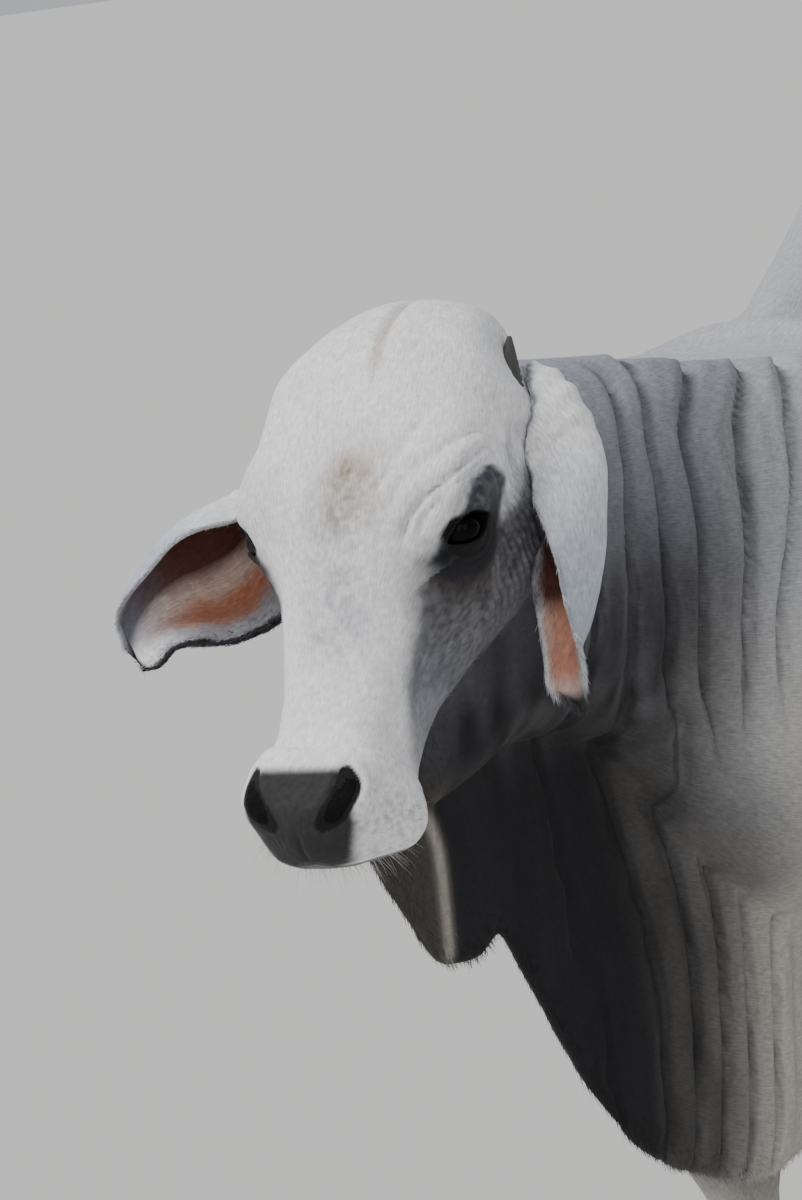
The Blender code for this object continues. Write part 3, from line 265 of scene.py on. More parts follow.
# Ear sections from root to tip in the head's own frame, as along, out and up of the hidden edge, of the back
# and of the edge in view, then how far a section curls from its back to either edge, in degrees.
EARS = {
    "ear_left": (
        (0.104, 0.060, -0.146, 0.050, 0.062, -0.136, 0.106, 0.072, -0.112, 105),
        (0.093, 0.073, -0.153, 0.009, 0.092, -0.139, 0.109, 0.099, -0.100, 110),
        (0.133, 0.086, -0.166, 0.041, 0.139, -0.134, 0.134, 0.111, -0.104, 115),
        (0.172, 0.105, -0.158, 0.078, 0.163, -0.143, 0.151, 0.119, -0.109, 115),
        (0.200, 0.124, -0.142, 0.121, 0.177, -0.154, 0.173, 0.140, -0.104, 105),
        (0.223, 0.126, -0.144, 0.172, 0.178, -0.167, 0.208, 0.160, -0.102, 95),
        (0.245, 0.122, -0.161, 0.215, 0.169, -0.186, 0.238, 0.169, -0.119, 90),
        (0.269, 0.119, -0.183, 0.254, 0.152, -0.207, 0.265, 0.171, -0.144, 80),
        (0.294, 0.124, -0.198, 0.283, 0.135, -0.221, 0.291, 0.167, -0.178, 70),
        (0.316, 0.125, -0.209, 0.308, 0.136, -0.230, 0.311, 0.159, -0.213, 55),
        (0.326, 0.143, -0.234, 0.325, 0.145, -0.238, 0.323, 0.151, -0.236, 40),
    ),
    "ear_right": (
        (0.185, 0.090, -0.160, 0.110, 0.096, -0.160, 0.112, 0.090, -0.096, 105),
        (0.205, 0.135, -0.186, 0.112, 0.170, -0.186, 0.126, 0.145, -0.122, 112),
        (0.220, 0.180, -0.199, 0.122, 0.246, -0.200, 0.143, 0.198, -0.139, 112),
        (0.249, 0.193, -0.188, 0.153, 0.264, -0.190, 0.157, 0.209, -0.121, 112),
        (0.265, 0.214, -0.174, 0.174, 0.283, -0.177, 0.173, 0.233, -0.104, 108),
        (0.273, 0.240, -0.158, 0.195, 0.303, -0.163, 0.195, 0.261, -0.096, 100),
        (0.282, 0.267, -0.150, 0.222, 0.318, -0.153, 0.217, 0.289, -0.101, 90),
        (0.294, 0.287, -0.153, 0.250, 0.326, -0.146, 0.243, 0.314, -0.112, 70),
        (0.298, 0.300, -0.157, 0.273, 0.327, -0.145, 0.265, 0.327, -0.126, 55),
        (0.298, 0.308, -0.159, 0.287, 0.320, -0.151, 0.281, 0.327, -0.140, 40),
    ),
}
EAR_THICKNESS = 0.0055
# Which way the hair lies on the left and on the right ear, in the head's frame.
EAR_LIES = ((0.20, 0.030, -0.08), (0.10, -0.16, 0.02))
# Ridges inside the cup: place across it from -1 to 1, reach and height.
EAR_RIDGES = ((-0.28, 0.13, 0.0030), (0.10, 0.10, 0.0018), (-0.62, 0.10, 0.0014))

# Creases of loose skin round the left eye in the head's own frame, from the inner corner over the brow and
# down behind it, each with its depth and how fast it fades to the sides.
BROW_CREASES = (
    (0.0074, 0.0034, (
        (0.265, 0.083, -0.016), (0.249, 0.097, -0.011), (0.235, 0.107, -0.008), (0.218, 0.118, -0.003),
        (0.205, 0.122, 0.000), (0.188, 0.126, -0.006), (0.169, 0.128, -0.021), (0.166, 0.129, -0.035),
        (0.175, 0.129, -0.049), (0.190, 0.128, -0.058))),
    (0.0080, 0.0036, (
        (0.270, 0.066, -0.002), (0.252, 0.070, 0.006), (0.242, 0.073, 0.010), (0.229, 0.080, 0.013),
        (0.219, 0.087, 0.014), (0.206, 0.097, 0.012), (0.196, 0.110, 0.011), (0.179, 0.119, 0.003),
        (0.158, 0.126, -0.012), (0.145, 0.127, -0.025), (0.151, 0.128, -0.040), (0.162, 0.129, -0.051))),
    (0.0058, 0.0030, (
        (0.250, 0.085, -0.001), (0.240, 0.086, 0.005), (0.227, 0.093, 0.008), (0.215, 0.102, 0.008),
        (0.197, 0.117, 0.005), (0.184, 0.126, -0.004), (0.167, 0.129, -0.019), (0.158, 0.129, -0.036),
        (0.168, 0.129, -0.049))),
    (0.0058, 0.0044, (
        (0.245, 0.057, 0.014), (0.218, 0.061, 0.021), (0.202, 0.067, 0.022), (0.185, 0.080, 0.019),
        (0.169, 0.097, 0.015), (0.150, 0.111, 0.004), (0.134, 0.121, -0.013), (0.131, 0.125, -0.030),
        (0.130, 0.123, -0.061), (0.149, 0.124, -0.072))),
    (0.0044, 0.0046, (
        (0.215, 0.041, 0.025), (0.192, 0.051, 0.026), (0.172, 0.060, 0.025), (0.156, 0.068, 0.024),
        (0.141, 0.077, 0.021), (0.125, 0.088, 0.014))),
)

HORN_ROOT = np.array([0.066, 0.095, -0.104])
HORN_TIP = np.array([-0.004, 0.083, -0.096])
HORN_RADIUS = 0.0125
# The horn's thickness from its buried end, at this share of its length, to its tip.
HORN_TAPER = (1.05, 1.0, 0.95, 0.85, 0.68, 0.46, 0.20)
HORN_START = -0.05

# The almond opening between the lids: half its length and half its height.
LID_LONG = 0.0248
LID_TALL = 0.0150
# The coat's depth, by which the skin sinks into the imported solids.
SKIN_DEPTH = 0.0012

# The studio's floor and lights, and the camera that sees what the photograph shows.
FLOOR_SIDES = 96
FLOOR_RADII = (6.0, 60.0, 400.0)
WORLD_STRENGTH = 0.62
SUN_STRENGTH = 2.9
SUN_FROM = (-0.35, -0.50, 0.80)
SIDE_LIGHT_PLACE = (3.2, -3.4, 2.6)
SIDE_LIGHT_AIM = (0.0, -0.5, 1.0)
AIM = np.array([0.0, -0.84, 1.17])
CAMERA_AZIMUTH = math.radians(41)
CAMERA_ELEVATION = math.radians(8.5)
CAMERA_ROLL = math.radians(8.0)
CAMERA_DISTANCE = 4.2
CAMERA_LENS = 131.25


# Plain tools of shape.


def smooth_rows(rows, at):
    """Each column of the table read at the given places of its first, as a smooth curve."""
    table = np.array(rows, float)
    x, y = table[:, 0], table[:, 1:]
    order = np.argsort(x)
    x, y = x[order], y[order]
    step = np.diff(x)[:, None]
    slope = np.diff(y, axis=0) / step
    left, right = slope[:-1], slope[1:]
    same_way = left * right > 0
    total = np.where(same_way, left + right, 1.0)
    inner = np.where(same_way, 2.0 * left * right / total, 0.0)
    tangent = np.vstack([slope[:1], inner, slope[-1:]])
    at = np.asarray(at, float)
    k = np.clip(np.searchsorted(x, at) - 1, 0, len(x) - 2)
    h = step[k]
    t = ((at - x[k])[:, None]) / h
    return (y[k] * (1 + 2 * t) * (1 - t) ** 2 + y[k + 1] * t * t * (3 - 2 * t)
            + h * tangent[k] * t * (1 - t) ** 2 + h * tangent[k + 1] * t * t * (t - 1))


def along_curve(rows, share):
    """Evenly spaced rows read at shares from 0 to 1, each column as a smooth curve."""
    return smooth_rows(np.column_stack([np.linspace(0, 1, len(rows)), rows]), share)


def ease(value, low, high):
    """0 below low, 1 above high, and an S curve between them; low may be the larger."""
    t = np.clip((value - low) / (high - low), 0, 1)
    return t * t * (3 - 2 * t)


def window(value, start, full, fade, end):
    """Rises from 0 at the start to 1 when full, and falls from the fade to 0 at the end."""
    return ease(value, start, full) * ease(value, end, fade)


def ripple(value, pitch, start=0.0):
    """A sine that repeats once every pitch, from a starting angle."""
    return np.sin(value / pitch * 2 * math.pi + start)


def bump(value, centre, reach):
    """A bell curve: 1 at the centre, and about a third at its reach."""
    return np.exp(-(((value - centre) / reach) ** 2))


def noise(points, size, seed=0):
    """Smooth lumps of about the given size, from -1 to 1: random values on a lattice, eased between."""
    table = np.random.default_rng(seed).uniform(-1, 1, 4096)
    scaled = np.asarray(points, float) / size + 1000.0
    cell = np.floor(scaled).astype(np.int64)
    t = scaled - cell
    t = t * t * (3 - 2 * t)
    total = np.zeros(scaled.shape[:-1])
    for corner in range(8):
        pick = np.array([corner & 1, corner >> 1 & 1, corner >> 2 & 1])
        place = cell + pick
        mixed = (place[..., 0] * 73856093) ^ (place[..., 1] * 19349663) ^ (place[..., 2] * 83492791)
        weight = np.where(pick == 1, t, 1 - t).prod(axis=-1)
        total += weight * table[mixed % 4096]
    return total


def unit(vectors):
    """The vectors at a length of one."""
    return vectors / np.maximum(np.linalg.norm(vectors, axis=-1, keepdims=True), 1e-9)


def full_turn(count):
    """Angles spread evenly round a circle."""
    return np.linspace(0, 2 * math.pi, count, endpoint=False)


def squared_circle(angle, power):
    """How far a squared circle reaches at each angle; a power of 2 gives a true circle."""
    return (np.abs(np.cos(angle)) ** power + np.abs(np.sin(angle)) ** power) ** (-1 / power)


def spaced(spans):
    """Places along several spans, given as start, end and count, with the last span's end."""
    runs = [np.linspace(start, end, count, endpoint=False) for start, end, count in spans]
    return np.append(np.concatenate(runs), spans[-1][1])


def evened(across, height, count):
    """Half outlines, one per row, resampled so that their points lie evenly along them."""
    run = np.hypot(np.diff(across, axis=1), np.diff(height, axis=1)).cumsum(axis=1)
    run = np.hstack([np.zeros((len(run), 1)), run])
    wanted = np.linspace(0, 1, count)
    pairs = [(np.interp(wanted * r[-1], r, a), np.interp(wanted * r[-1], r, h))
             for r, a, h in zip(run, across, height)]
    return np.array([p[0] for p in pairs]), np.array([p[1] for p in pairs])


def closed_rings(across, height):
    """Half outlines made whole rings: up the left side and down the right one."""
    left = np.stack([across, height], axis=2)
    right = np.stack([-across[:, -2:0:-1], height[:, -2:0:-1]], axis=2)
    return np.concatenate([left, right], axis=1)


def pushed(points, forms, across=0):
    """Points moved by each swelling, which fades with distance as a bell curve, on both sides."""
    moved = points.copy()
    for centre, reach, push in forms.values():
        for side in (1, -1) if centre[across] else (1,):
            flip = np.where(np.arange(3) == across, side, 1.0)
            near = np.exp(-(((points - np.array(centre) * flip) / np.array(reach)) ** 2).sum(-1))
            moved += near[..., None] * (np.array(push) * flip)
    return moved


def head_axes():
    """The head's own directions: along the face, out to its left, up off the face."""
    forward = np.array([math.sin(HEAD_TURN), -math.cos(HEAD_TURN), 0.0])
    out = np.array([math.cos(HEAD_TURN), math.sin(HEAD_TURN), 0.0])
    up = np.array([0.0, 0.0, 1.0])
    along = forward * math.cos(HEAD_PITCH) - up * math.sin(HEAD_PITCH)
    above = forward * math.sin(HEAD_PITCH) + up * math.cos(HEAD_PITCH)
    return np.stack([along, out, above])


def from_head(points):
    """Points in the head's frame placed in the world."""
    return POLL + np.asarray(points, float) @ head_axes()


def to_head(points):
    """World points read in the head's frame: along, out, up."""
    return (np.asarray(points, float) - POLL) @ head_axes().T


def on_side(point, side):
    """A point or direction of the head's frame, mirrored where the side is -1."""
    return np.array(point) * np.array([1, side, 1])


def on_left(local):
    """Points of the head's frame with the right side folded onto the left one."""
    return local * np.where(local[:, 1:2] < 0, [1.0, -1.0, 1.0], 1.0)


def home_shift():
    """From the maker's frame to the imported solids, read from the left eye's place."""
    low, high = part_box("eye_left")
    return np.array((low + high) / 2) - from_head(EYE_PLACE)


HOME = home_shift()


# Surfaces of the body.


def trunk_rings(places, count):
    """Neck, hump, dewlap, chest, belly and rump as upright sections.

    A section's half width at a height is the power mean of three half ellipses: the core,
    the thin fold that hangs below its centre and the crest that stands above it.
    """
    top, bottom, centre, half, width, fold, crest = smooth_rows(TRUNK, places).T[:, :, None]
    turn = np.linspace(0, math.pi, SECTION_SAMPLES)[None, :]
    height = bottom + (top - bottom) * (1 - np.cos(turn)) / 2
    crest_power = np.interp(places, (-0.20, 0.10), (NECK_CREST_POWER, HUMP_CREST_POWER))[:, None]

    def ellipse(reach, power):
        return (1 - np.clip(np.abs(height - centre) / reach, 0, 1) ** power) ** (1 / power)

    core = width * ellipse(half, CORE_POWER)
    fade = ellipse(half, 2.0)
    below = fold * np.where(height < centre, ellipse(centre - bottom, FOLD_POWER), fade)
    above = crest * np.where(height > centre, ellipse(top - centre, crest_power), fade)
    across = (core ** BLEND_POWER + below ** BLEND_POWER + above ** BLEND_POWER) ** (1 / BLEND_POWER)
    across[:, 0] = across[:, -1] = 0
    ring = closed_rings(*evened(across, height, count))
    y = np.broadcast_to(np.asarray(places)[:, None], ring.shape[:2])
    points = np.stack([ring[..., 0], y, ring[..., 1]], axis=2)
    return folded(pushed(points, BODY_FORMS))


def crease_count(y, z):
    """How many creases a point has passed on its way back from the head, as a running number."""
    table = np.column_stack([FOLD_HEIGHTS, np.array(FOLDS).T])
    level = np.clip(z, FOLD_HEIGHTS[-1], FOLD_HEIGHTS[0])
    lines = np.moveaxis(smooth_rows(table, level.ravel()).reshape(*z.shape, len(FOLDS)), -1, 0)
    return sum(np.clip((y - near) / (far - near), 0, 1) for near, far in zip(lines, lines[1:]))


def folded(points):
    """The neck's loose skin: rounded rolls between creases, with finer wrinkles riding on them.

    A roll is a root of the sine of half a turn between two creases, and a wrinkle is a sine of
    four times that pitch that wanders with smooth noise. Both lift the top line as well.
    """
    x, y, z = np.moveaxis(points, -1, 0)
    wander = noise(points * [1, 1, 0.4], 0.07, 3) * 0.10 * ease(np.abs(x), 0.0, 0.05)
    passed = crease_count(y, z)
    inside = np.clip(passed + wander * (passed > 0), 0, len(FOLDS) - 1)
    edge = np.clip(passed * 4, 0, 1) * np.clip((len(FOLDS) - 1 - passed) * 1.5, 0, 1)
    size = 1 + 0.35 * noise(points * [1, 1, 0.5], 0.12, 4)
    roll = (np.abs(np.sin(math.pi * inside)) ** 0.62 - 0.55) * FOLD_DEPTH * edge * size
    fine = np.sin(math.pi * 4 * inside + 2.0 * noise(points, 0.05, 5)) * 0.0012 * edge
    amount = roll + fine
    out = np.sign(x) * amount * np.clip(np.abs(x) / 0.05, 0.3, 1.0)
    lift = amount * 0.7 * np.clip((z - 1.22) / 0.08, 0, 1)
    sway = 0.008 * np.sin(y / 0.055 + z * 6) * ease(z, 0.95, 0.60) * ease(y, -0.34, -0.46)
    return np.stack([x + out + sway, y, z + lift], axis=2)


def head_rings(places, count):
    """Skull, face and muzzle as sections across the face.

    A section widens from the jaw line to its widest height, then closes to the face line,
    each half as a super-ellipse.
    """
    top, jaw, width, widest, brow, cheek = smooth_rows(HEAD, places).T[:, :, None]
    turn = np.linspace(0, math.pi, SECTION_SAMPLES)[None, :]
    share = (1 - np.cos(turn)) / 2
    upper = (1 - np.clip((share - widest) / (1 - widest), 0, 1) ** brow) ** (1 / brow)
    lower = (1 - np.clip((widest - share) / widest, 0, 1) ** cheek) ** (1 / cheek)
    across = width * np.minimum(upper, lower)
    across[:, 0] = across[:, -1] = 0
    ring = closed_rings(*evened(across, jaw + (top - jaw) * share, count))
    along = np.broadcast_to(np.asarray(places)[:, None], ring.shape[:2])
    points = np.stack([along, ring[..., 0], ring[..., 1]], axis=2)
    return from_head(pushed(points, HEAD_FORMS, across=1))


def tube_rings(path, radii, around):
    """Ellipses square to a path, their radii given as (side, depth) pairs."""
    path = np.asarray(path, float)
    radii = np.asarray(radii, float)
    radii = np.stack([radii, radii], axis=1) if radii.ndim == 1 else radii
    ahead = unit(np.gradient(path, axis=0))
    side = unit(np.array([1.0, 0.0, 0.0]) - ahead * ahead[:, :1])
    deep = np.cross(ahead, side)
    angle = full_turn(around)
    return (path[:, None] + side[:, None] * (radii[:, None, :1] * np.cos(angle)[None, :, None])
            + deep[:, None] * (radii[:, None, 1:] * np.sin(angle)[None, :, None]))


def spine_rings(rows, rings, around):
    """A tube along a path in the middle plane, from rows of y, z, half width and half depth."""
    y, z, wide, deep = along_curve(rows, np.linspace(0, 1, rings)).T
    path = np.stack([np.zeros_like(y), y, z], axis=1)
    return tube_rings(path, np.stack([wide, deep], axis=1), around)


def step_share(height):
    """The share of its step that a leg has taken at a height."""
    return (STEP_TOP - height) / STEP_REACH


def leg_rings(name, rows, side, around, rings):
    """One leg as level, slightly squared sections from inside the body down to the hoof."""
    table = np.array(rows)
    knots = -table[:, 0]
    share = np.linspace(0, 1, rings)
    levels = np.interp(share, np.linspace(0, 1, len(rows)), knots)
    x, y, wide, long = smooth_rows(np.column_stack([knots, table[:, 1:]]), levels).T
    z = -levels
    y = y + STEP[name] * np.clip(step_share(z), 0, 1)
    angle = full_turn(around)
    reach = squared_circle(angle, LEG_SQUARENESS)
    points = np.stack([side * x[:, None] + wide[:, None] * np.cos(angle) * reach,
                       y[:, None] + long[:, None] * np.sin(angle) * reach,
                       np.broadcast_to(z[:, None], (rings, around))], axis=2)
    return leg_forms(points, np.array([side * x, y]).T, "hind" in name)


def leg_forms(points, centre, hind):
    """Tendon behind, bony knee or hock and cannon grooves, as pushes away from the leg's middle."""
    z = points[..., 2]
    away = points[..., :2] - centre[:, None]
    turn = np.arctan2(away[..., 1], np.abs(away[..., 0]))
    joint = HOCK_HEIGHT if hind else KNEE_HEIGHT
    groove = bump(turn, 0.55, 0.35) * bump(z, 0.27, 0.09) * 0.004
    knee = bump(z, joint, 0.035) * bump(turn, -1.2, 0.8) * 0.004
    tendon = bump(turn, 1.5, 0.35) * bump(z, 0.28, 0.12) * 0.004
    muscle = bump(z, 0.66, 0.07) * bump(turn, 0.3, 0.7) * 0.007
    push = knee + tendon + muscle - groove + noise(points, 0.05, 8) * 0.0015
    moved = points.copy()
    moved[..., :2] += unit(away) * push[..., None]
    return moved


def ear_rings(name, along_count, around):
    """A drooping ear: crescent sections that pass through its two edges and its back.

    At a turn t from -curl to curl, a section's point is the middle of its edges, plus half the
    edge-to-edge vector times sin t / sin curl, plus the way to the back times the share of
    1 - cos curl that cos t - cos curl makes. The sheet is then given its thickness, with low
    ridges along the cup and a margin that waves a little.
    """
    share = np.linspace(0, 1, along_count)
    table = along_curve(EARS[name], share)
    hidden, back, shown = table[:, None, 0:3], table[:, None, 3:6], table[:, None, 6:9]
    curl = np.radians(table[:, 9])[:, None, None]
    sweep = np.sin(np.linspace(-1, 1, around // 2) * math.pi / 2)
    turn = sweep[None, :, None] * curl
    middle = (hidden + shown) / 2
    sheet = (middle + (shown - hidden) / 2 * np.sin(turn) / np.sin(curl)
             + (back - middle) * (np.cos(turn) - np.cos(curl)) / (1 - np.cos(curl)))
    inward = unit(np.cross(np.gradient(sheet, axis=0), np.gradient(sheet, axis=1)))
    inward *= np.sign((inward[:, around // 4] * (middle - back)[:, 0]).sum())
    edge = np.sqrt(np.clip(1 - np.abs(sweep) ** 5, 0.05, 1))
    thick = EAR_THICKNESS * (0.8 + 1.4 * (1 - share) ** 4)[:, None] * edge[None, :] / 2
    ridges = sum(height * bump(sweep, centre, reach) for centre, reach, height in EAR_RIDGES)
    ridges = ridges[None, :] * ease(share, 0.90, 0.55)[:, None]
    wave = (0.0022 * np.sin(share * 21)[:, None] * np.abs(sweep)[None, :] ** 4)[..., None] * inward
    outer = sheet + wave - inward * thick[..., None]
    inner = sheet + wave + inward * (thick + ridges)[..., None]
    ring = np.concatenate([outer, inner[:, ::-1]], axis=1)
    return from_head(on_side(ring, 1 if name == "ear_left" else -1))


def horn_rings(side):
    """A short blunt horn that lies back along the poll, with growth rings near its root."""
    start, end = on_side(HORN_ROOT, side), on_side(HORN_TIP, side)
    share = np.linspace(HORN_START, 1, 60)
    bow = np.outer(np.sin(math.pi * np.clip(share, 0, 1)), [0, 0, 0.004])
    path = start + np.outer(share, end - start) + bow
    knots = np.linspace(HORN_START, 1, len(HORN_TAPER))
    radii = HORN_RADIUS * np.interp(share, knots, HORN_TAPER)
    radii += 0.0007 * np.sin(share * 55) * ease(share, 0.75, 0.3)
    return tube_rings(from_head(path), radii, 32)


def claw_rings(x, y, side):
    """One hoof claw: D-shaped sections on a flat sole, ringed by growth lines, its edge rounded."""
    wall = np.linspace(0.006, HOOF_TOP - 0.004, 34)
    levels = np.concatenate([[0.0, 0.0010, 0.003], wall, [HOOF_TOP - 0.0015, HOOF_TOP]])
    rise = levels / HOOF_TOP
    toe = y - CLAW_LENGTH * (0.60 - 0.26 * rise)
    heel = y + CLAW_LENGTH * (0.40 - 0.02 * rise)
    sole_edge = 0.035 * np.clip(1 - levels / 0.004, 0, 1) ** 2
    top_edge = 0.06 * ease(levels, HOOF_TOP - 0.004, HOOF_TOP)
    growth = 1 + 0.010 * np.sin(levels * 700) * ease(levels, 0.010, 0.030)
    outline = (1 - sole_edge - top_edge) * growth
    half = CLAW_WIDTH / 2 * (1 - 0.10 * rise) * outline * 0.985
    long = (heel - toe) / 2 * outline * 0.99
    angle = full_turn(44)
    cos, sin = np.cos(angle), np.sin(angle)
    reach = squared_circle(angle, CLAW_SQUARENESS)
    taper = 1 - 0.22 * np.clip(-sin, 0, 1)
    return np.stack([x + side * CLAW_SPREAD + half[:, None] * cos * reach * taper,
                     (toe + heel)[:, None] / 2 + long[:, None] * sin * reach,
                     np.broadcast_to(levels[:, None], (len(levels), len(angle)))], axis=2)


def lid_frame(side):
    """The eye's own directions in the head's frame: line of sight, inner to outer corner, and up."""
    look = unit(on_side(EYE_LOOK, side))
    long = on_side(LID_LINE, side)
    long = unit(long - look * (long @ look))
    return look, long, np.cross(look, long) * side


def lid_opening(side):
    """The almond between the lids, as a prism pushed through them along the eye's line of sight."""
    look, long, tall = lid_frame(side)
    turn = full_turn(48)
    across = np.cos(turn) * LID_LONG
    rise = np.sin(turn) * (1 - 0.5 * np.cos(turn) ** 2) * LID_TALL
    almond = np.outer(across, long) + np.outer(np.where(rise > 0, rise, rise * 0.8), tall)
    depths = np.linspace(0.2, 2.4, 4) * EYE_RADIUS
    return from_head(on_side(EYE_PLACE, side) + almond[None] + look * depths[:, None, None])


def nostril_rings(side):
    """A comma-shaped hole: a tapering bean driven into the muzzle."""
    look = unit(on_side(NOSTRIL_LOOK, side))
    share = np.linspace(0, 1, 26)
    bean = along_curve(NOSTRIL, share)
    ends = np.sqrt(np.clip(1 - np.abs(share * 2 - 1) ** 6, 0.02, 1))[:, None, None]
    path = on_side(bean[:, :3], side) - look * 0.004
    across = np.cross(look, unit(np.gradient(path, axis=0)))
    turn = full_turn(36)[None, :, None]
    half = bean[:, 3:, None] * np.cos(turn)
    rings = path[:, None] + ends * (across[:, None] * half + look * 0.022 * np.sin(turn))
    return from_head(rings)


def mouth_rings():
    """The line between the lips: a thin wedge bent round the muzzle from corner to corner."""
    turn = np.linspace(-1, 1, 90)
    line = along_curve(MOUTH, np.abs(turn))
    line[:, 1] *= np.sign(turn)
    away = unit((line - MOUTH_MIDDLE) * [1, 1, 0])
    outer, inner = line + away * 0.014, line - away * 0.013
    lips = np.array([0.0, 0.0, MOUTH_GAPE])
    wedge = [outer + lips, inner + lips * 0.4, inner - lips * 0.4, outer - lips]
    return from_head(np.stack(wedge, axis=1))


# Meshes.


def linked(name, data):
    """A new object of the data, in the scene."""
    made = bpy.data.objects.new(name, data)
    bpy.context.scene.collection.objects.link(made)
    return made


def mesh_object(name, points, faces):
    """A new object made of points and faces."""
    mesh = bpy.data.meshes.new(name)
    mesh.from_pydata(points.tolist(), [], faces)
    return linked(name, mesh)


def lie_corners(rings, flipped):
    """A UV corner in metres for each corner of a surface's faces: along the rings, then round them."""
    around = rings.shape[1]
    along = np.concatenate([[0], np.linalg.norm(np.diff(rings.mean(axis=1), axis=0), axis=1).cumsum()])
    girth = np.linalg.norm(rings - np.roll(rings, 1, axis=1), axis=2).sum(axis=1).mean()
    grid = np.stack(np.meshgrid(along, np.linspace(0, girth, around + 1), indexing="ij"), axis=2)
    quads = np.stack([grid[:-1, :-1], grid[:-1, 1:], grid[1:, 1:], grid[1:, :-1]], axis=2).reshape(-1, 4, 2)
    first = np.stack([grid[0, :-1], grid[0, 1:], grid[0, :-1]], axis=1)
    last = np.stack([grid[-1, :-1], grid[-1, :-1], grid[-1, 1:]], axis=1)
    quads = quads[:, ::-1] if flipped else quads
    return np.concatenate([quads.reshape(-1, 2), first.reshape(-1, 2), last.reshape(-1, 2)])


def surface(name, rings, part=0):
    """A closed mesh from rings of points: quads between neighbours and a fan over each end.

    Each point carries its part number and its place, the shares along and around. The UV map
    named lie runs in metres, along the rings first and then round them.
    """
    count, around = rings.shape[:2]
    points = np.vstack([rings.reshape(-1, 3), rings[0].mean(axis=0), rings[-1].mean(axis=0)])
    index = np.arange(count * around).reshape(count, around)
    turned = np.roll(index, -1, axis=1)
    sides = np.stack([index[:-1], turned[:-1], turned[1:], index[1:]], axis=2).reshape(-1, 4)
    first, last = count * around, count * around + 1
    near = np.stack([np.full(around, first), turned[0], index[0]], axis=1)
    far = np.stack([np.full(around, last), index[-1], turned[-1]], axis=1)
    a, b, c = (points[sides[:, k]] for k in range(3))
    flipped = (np.cross(a, b) * c).sum() < 0
    if flipped:
        sides, near, far = sides[:, ::-1], near[:, ::-1], far[:, ::-1]
    made = mesh_object(name, points, sides.tolist() + near.tolist() + far.tolist())
    mesh = made.data
    corners = lie_corners(rings, flipped).ravel().astype(np.float32)
    mesh.uv_layers.new(name="lie").data.foreach_set("uv", corners)
    share = np.zeros((len(points), 3), np.float32)
    share[:, 0] = part
    share[:count * around, 1] = np.repeat(np.linspace(0, 1, count), around)
    share[:count * around, 2] = np.tile(np.linspace(0, 1, around, endpoint=False), count)
    share[last, 1] = 1
    mesh.attributes.new("part", "FLOAT", "POINT").data.foreach_set("value", share[:, 0])
    mesh.attributes.new("place", "FLOAT_VECTOR", "POINT").data.foreach_set("vector", share.ravel())
    return made


def joined(made, operation, others):
    """The mesh joined with or cut by closed meshes one after another, which are then removed."""
    for other in others:
        join = made.modifiers.new("join", "BOOLEAN")
        join.operation = operation
        join.object = other
        join.solver = "MANIFOLD"
    graph = bpy.context.evaluated_depsgraph_get()
    mesh = bpy.data.meshes.new_from_object(made.evaluated_get(graph))
    made.modifiers.clear()
    made.data = mesh
    for other in others:
        bpy.data.objects.remove(other)
    return made


def read(mesh, what, width):
    """A mesh's points or normals, or a named attribute, as an array."""
    if what == "co":
        source, field = mesh.vertices, "co"
    elif what == "normal":
        source, field = mesh.vertex_normals, "vector"
    else:
        source, field = mesh.attributes[what].data, "value" if width == 1 else "vector"
    values = np.empty(len(mesh.vertices) * width, np.float32)
    source.foreach_get(field, values)
    return values.astype(float).reshape(-1, width) if width > 1 else values.astype(float)


def write_points(mesh, points):
    """Puts the points back into the mesh."""
    mesh.vertices.foreach_set("co", points.astype(np.float32).ravel())
    mesh.update()


def edge_pairs(mesh):
    """The two ends of every edge."""
    pairs = np.empty(len(mesh.edges) * 2, np.int32)
    mesh.edges.foreach_get("vertices", pairs)
    return pairs.reshape(-1, 2).T


def neighbour_mean(values, pairs):
    """Each point's neighbours averaged."""
    a, b = pairs
    count = len(values)
    degree = np.bincount(a, minlength=count) + np.bincount(b, minlength=count)
    total = np.stack([np.bincount(a, values[b, k], count) + np.bincount(b, values[a, k], count)
                      for k in range(values.shape[1])], axis=1)
    return total / np.maximum(degree, 1)[:, None]


def distance_from(seeds, points, pairs, steps):
    """How far each point lies from the nearest seed, walked along edges."""
    a, b = pairs
    length = np.linalg.norm(points[a] - points[b], axis=1)
    far = np.where(seeds, 0.0, 9.0)
    for _ in range(steps):
        ahead = far.copy()
        np.minimum.at(ahead, a, far[b] + length)
        np.minimum.at(ahead, b, far[a] + length)
        far = ahead
    return far


def faired(points, pairs, seeds, reach, rounds, steps=26):
    """Points near the seeds drawn towards the mean of their neighbours, less and less with distance."""
    if not seeds.any():
        return points
    strength = ease(distance_from(seeds, points, pairs, steps), reach, 0.0)[:, None] * 0.6
    for _ in range(rounds):
        points = points + (neighbour_mean(points, pairs) - points) * strength
    return points


def seam_kinds(mesh, pairs):
    """For each point on a join, the lowest and highest part numbers beside it."""
    part = read(mesh, "part", 1)
    a, b = pairs
    seam = ~np.isin(np.round(part, 3), SOLID_PARTS)
    low = np.full(len(part), 99.0)
    high = np.zeros(len(part))
    for near, far in ((a, b), (b, a)):
        known = ~seam[far]
        np.minimum.at(low, near[known], part[far][known])
        np.maximum.at(high, near[known], part[far][known])
    return seam, low, high


# The skin.


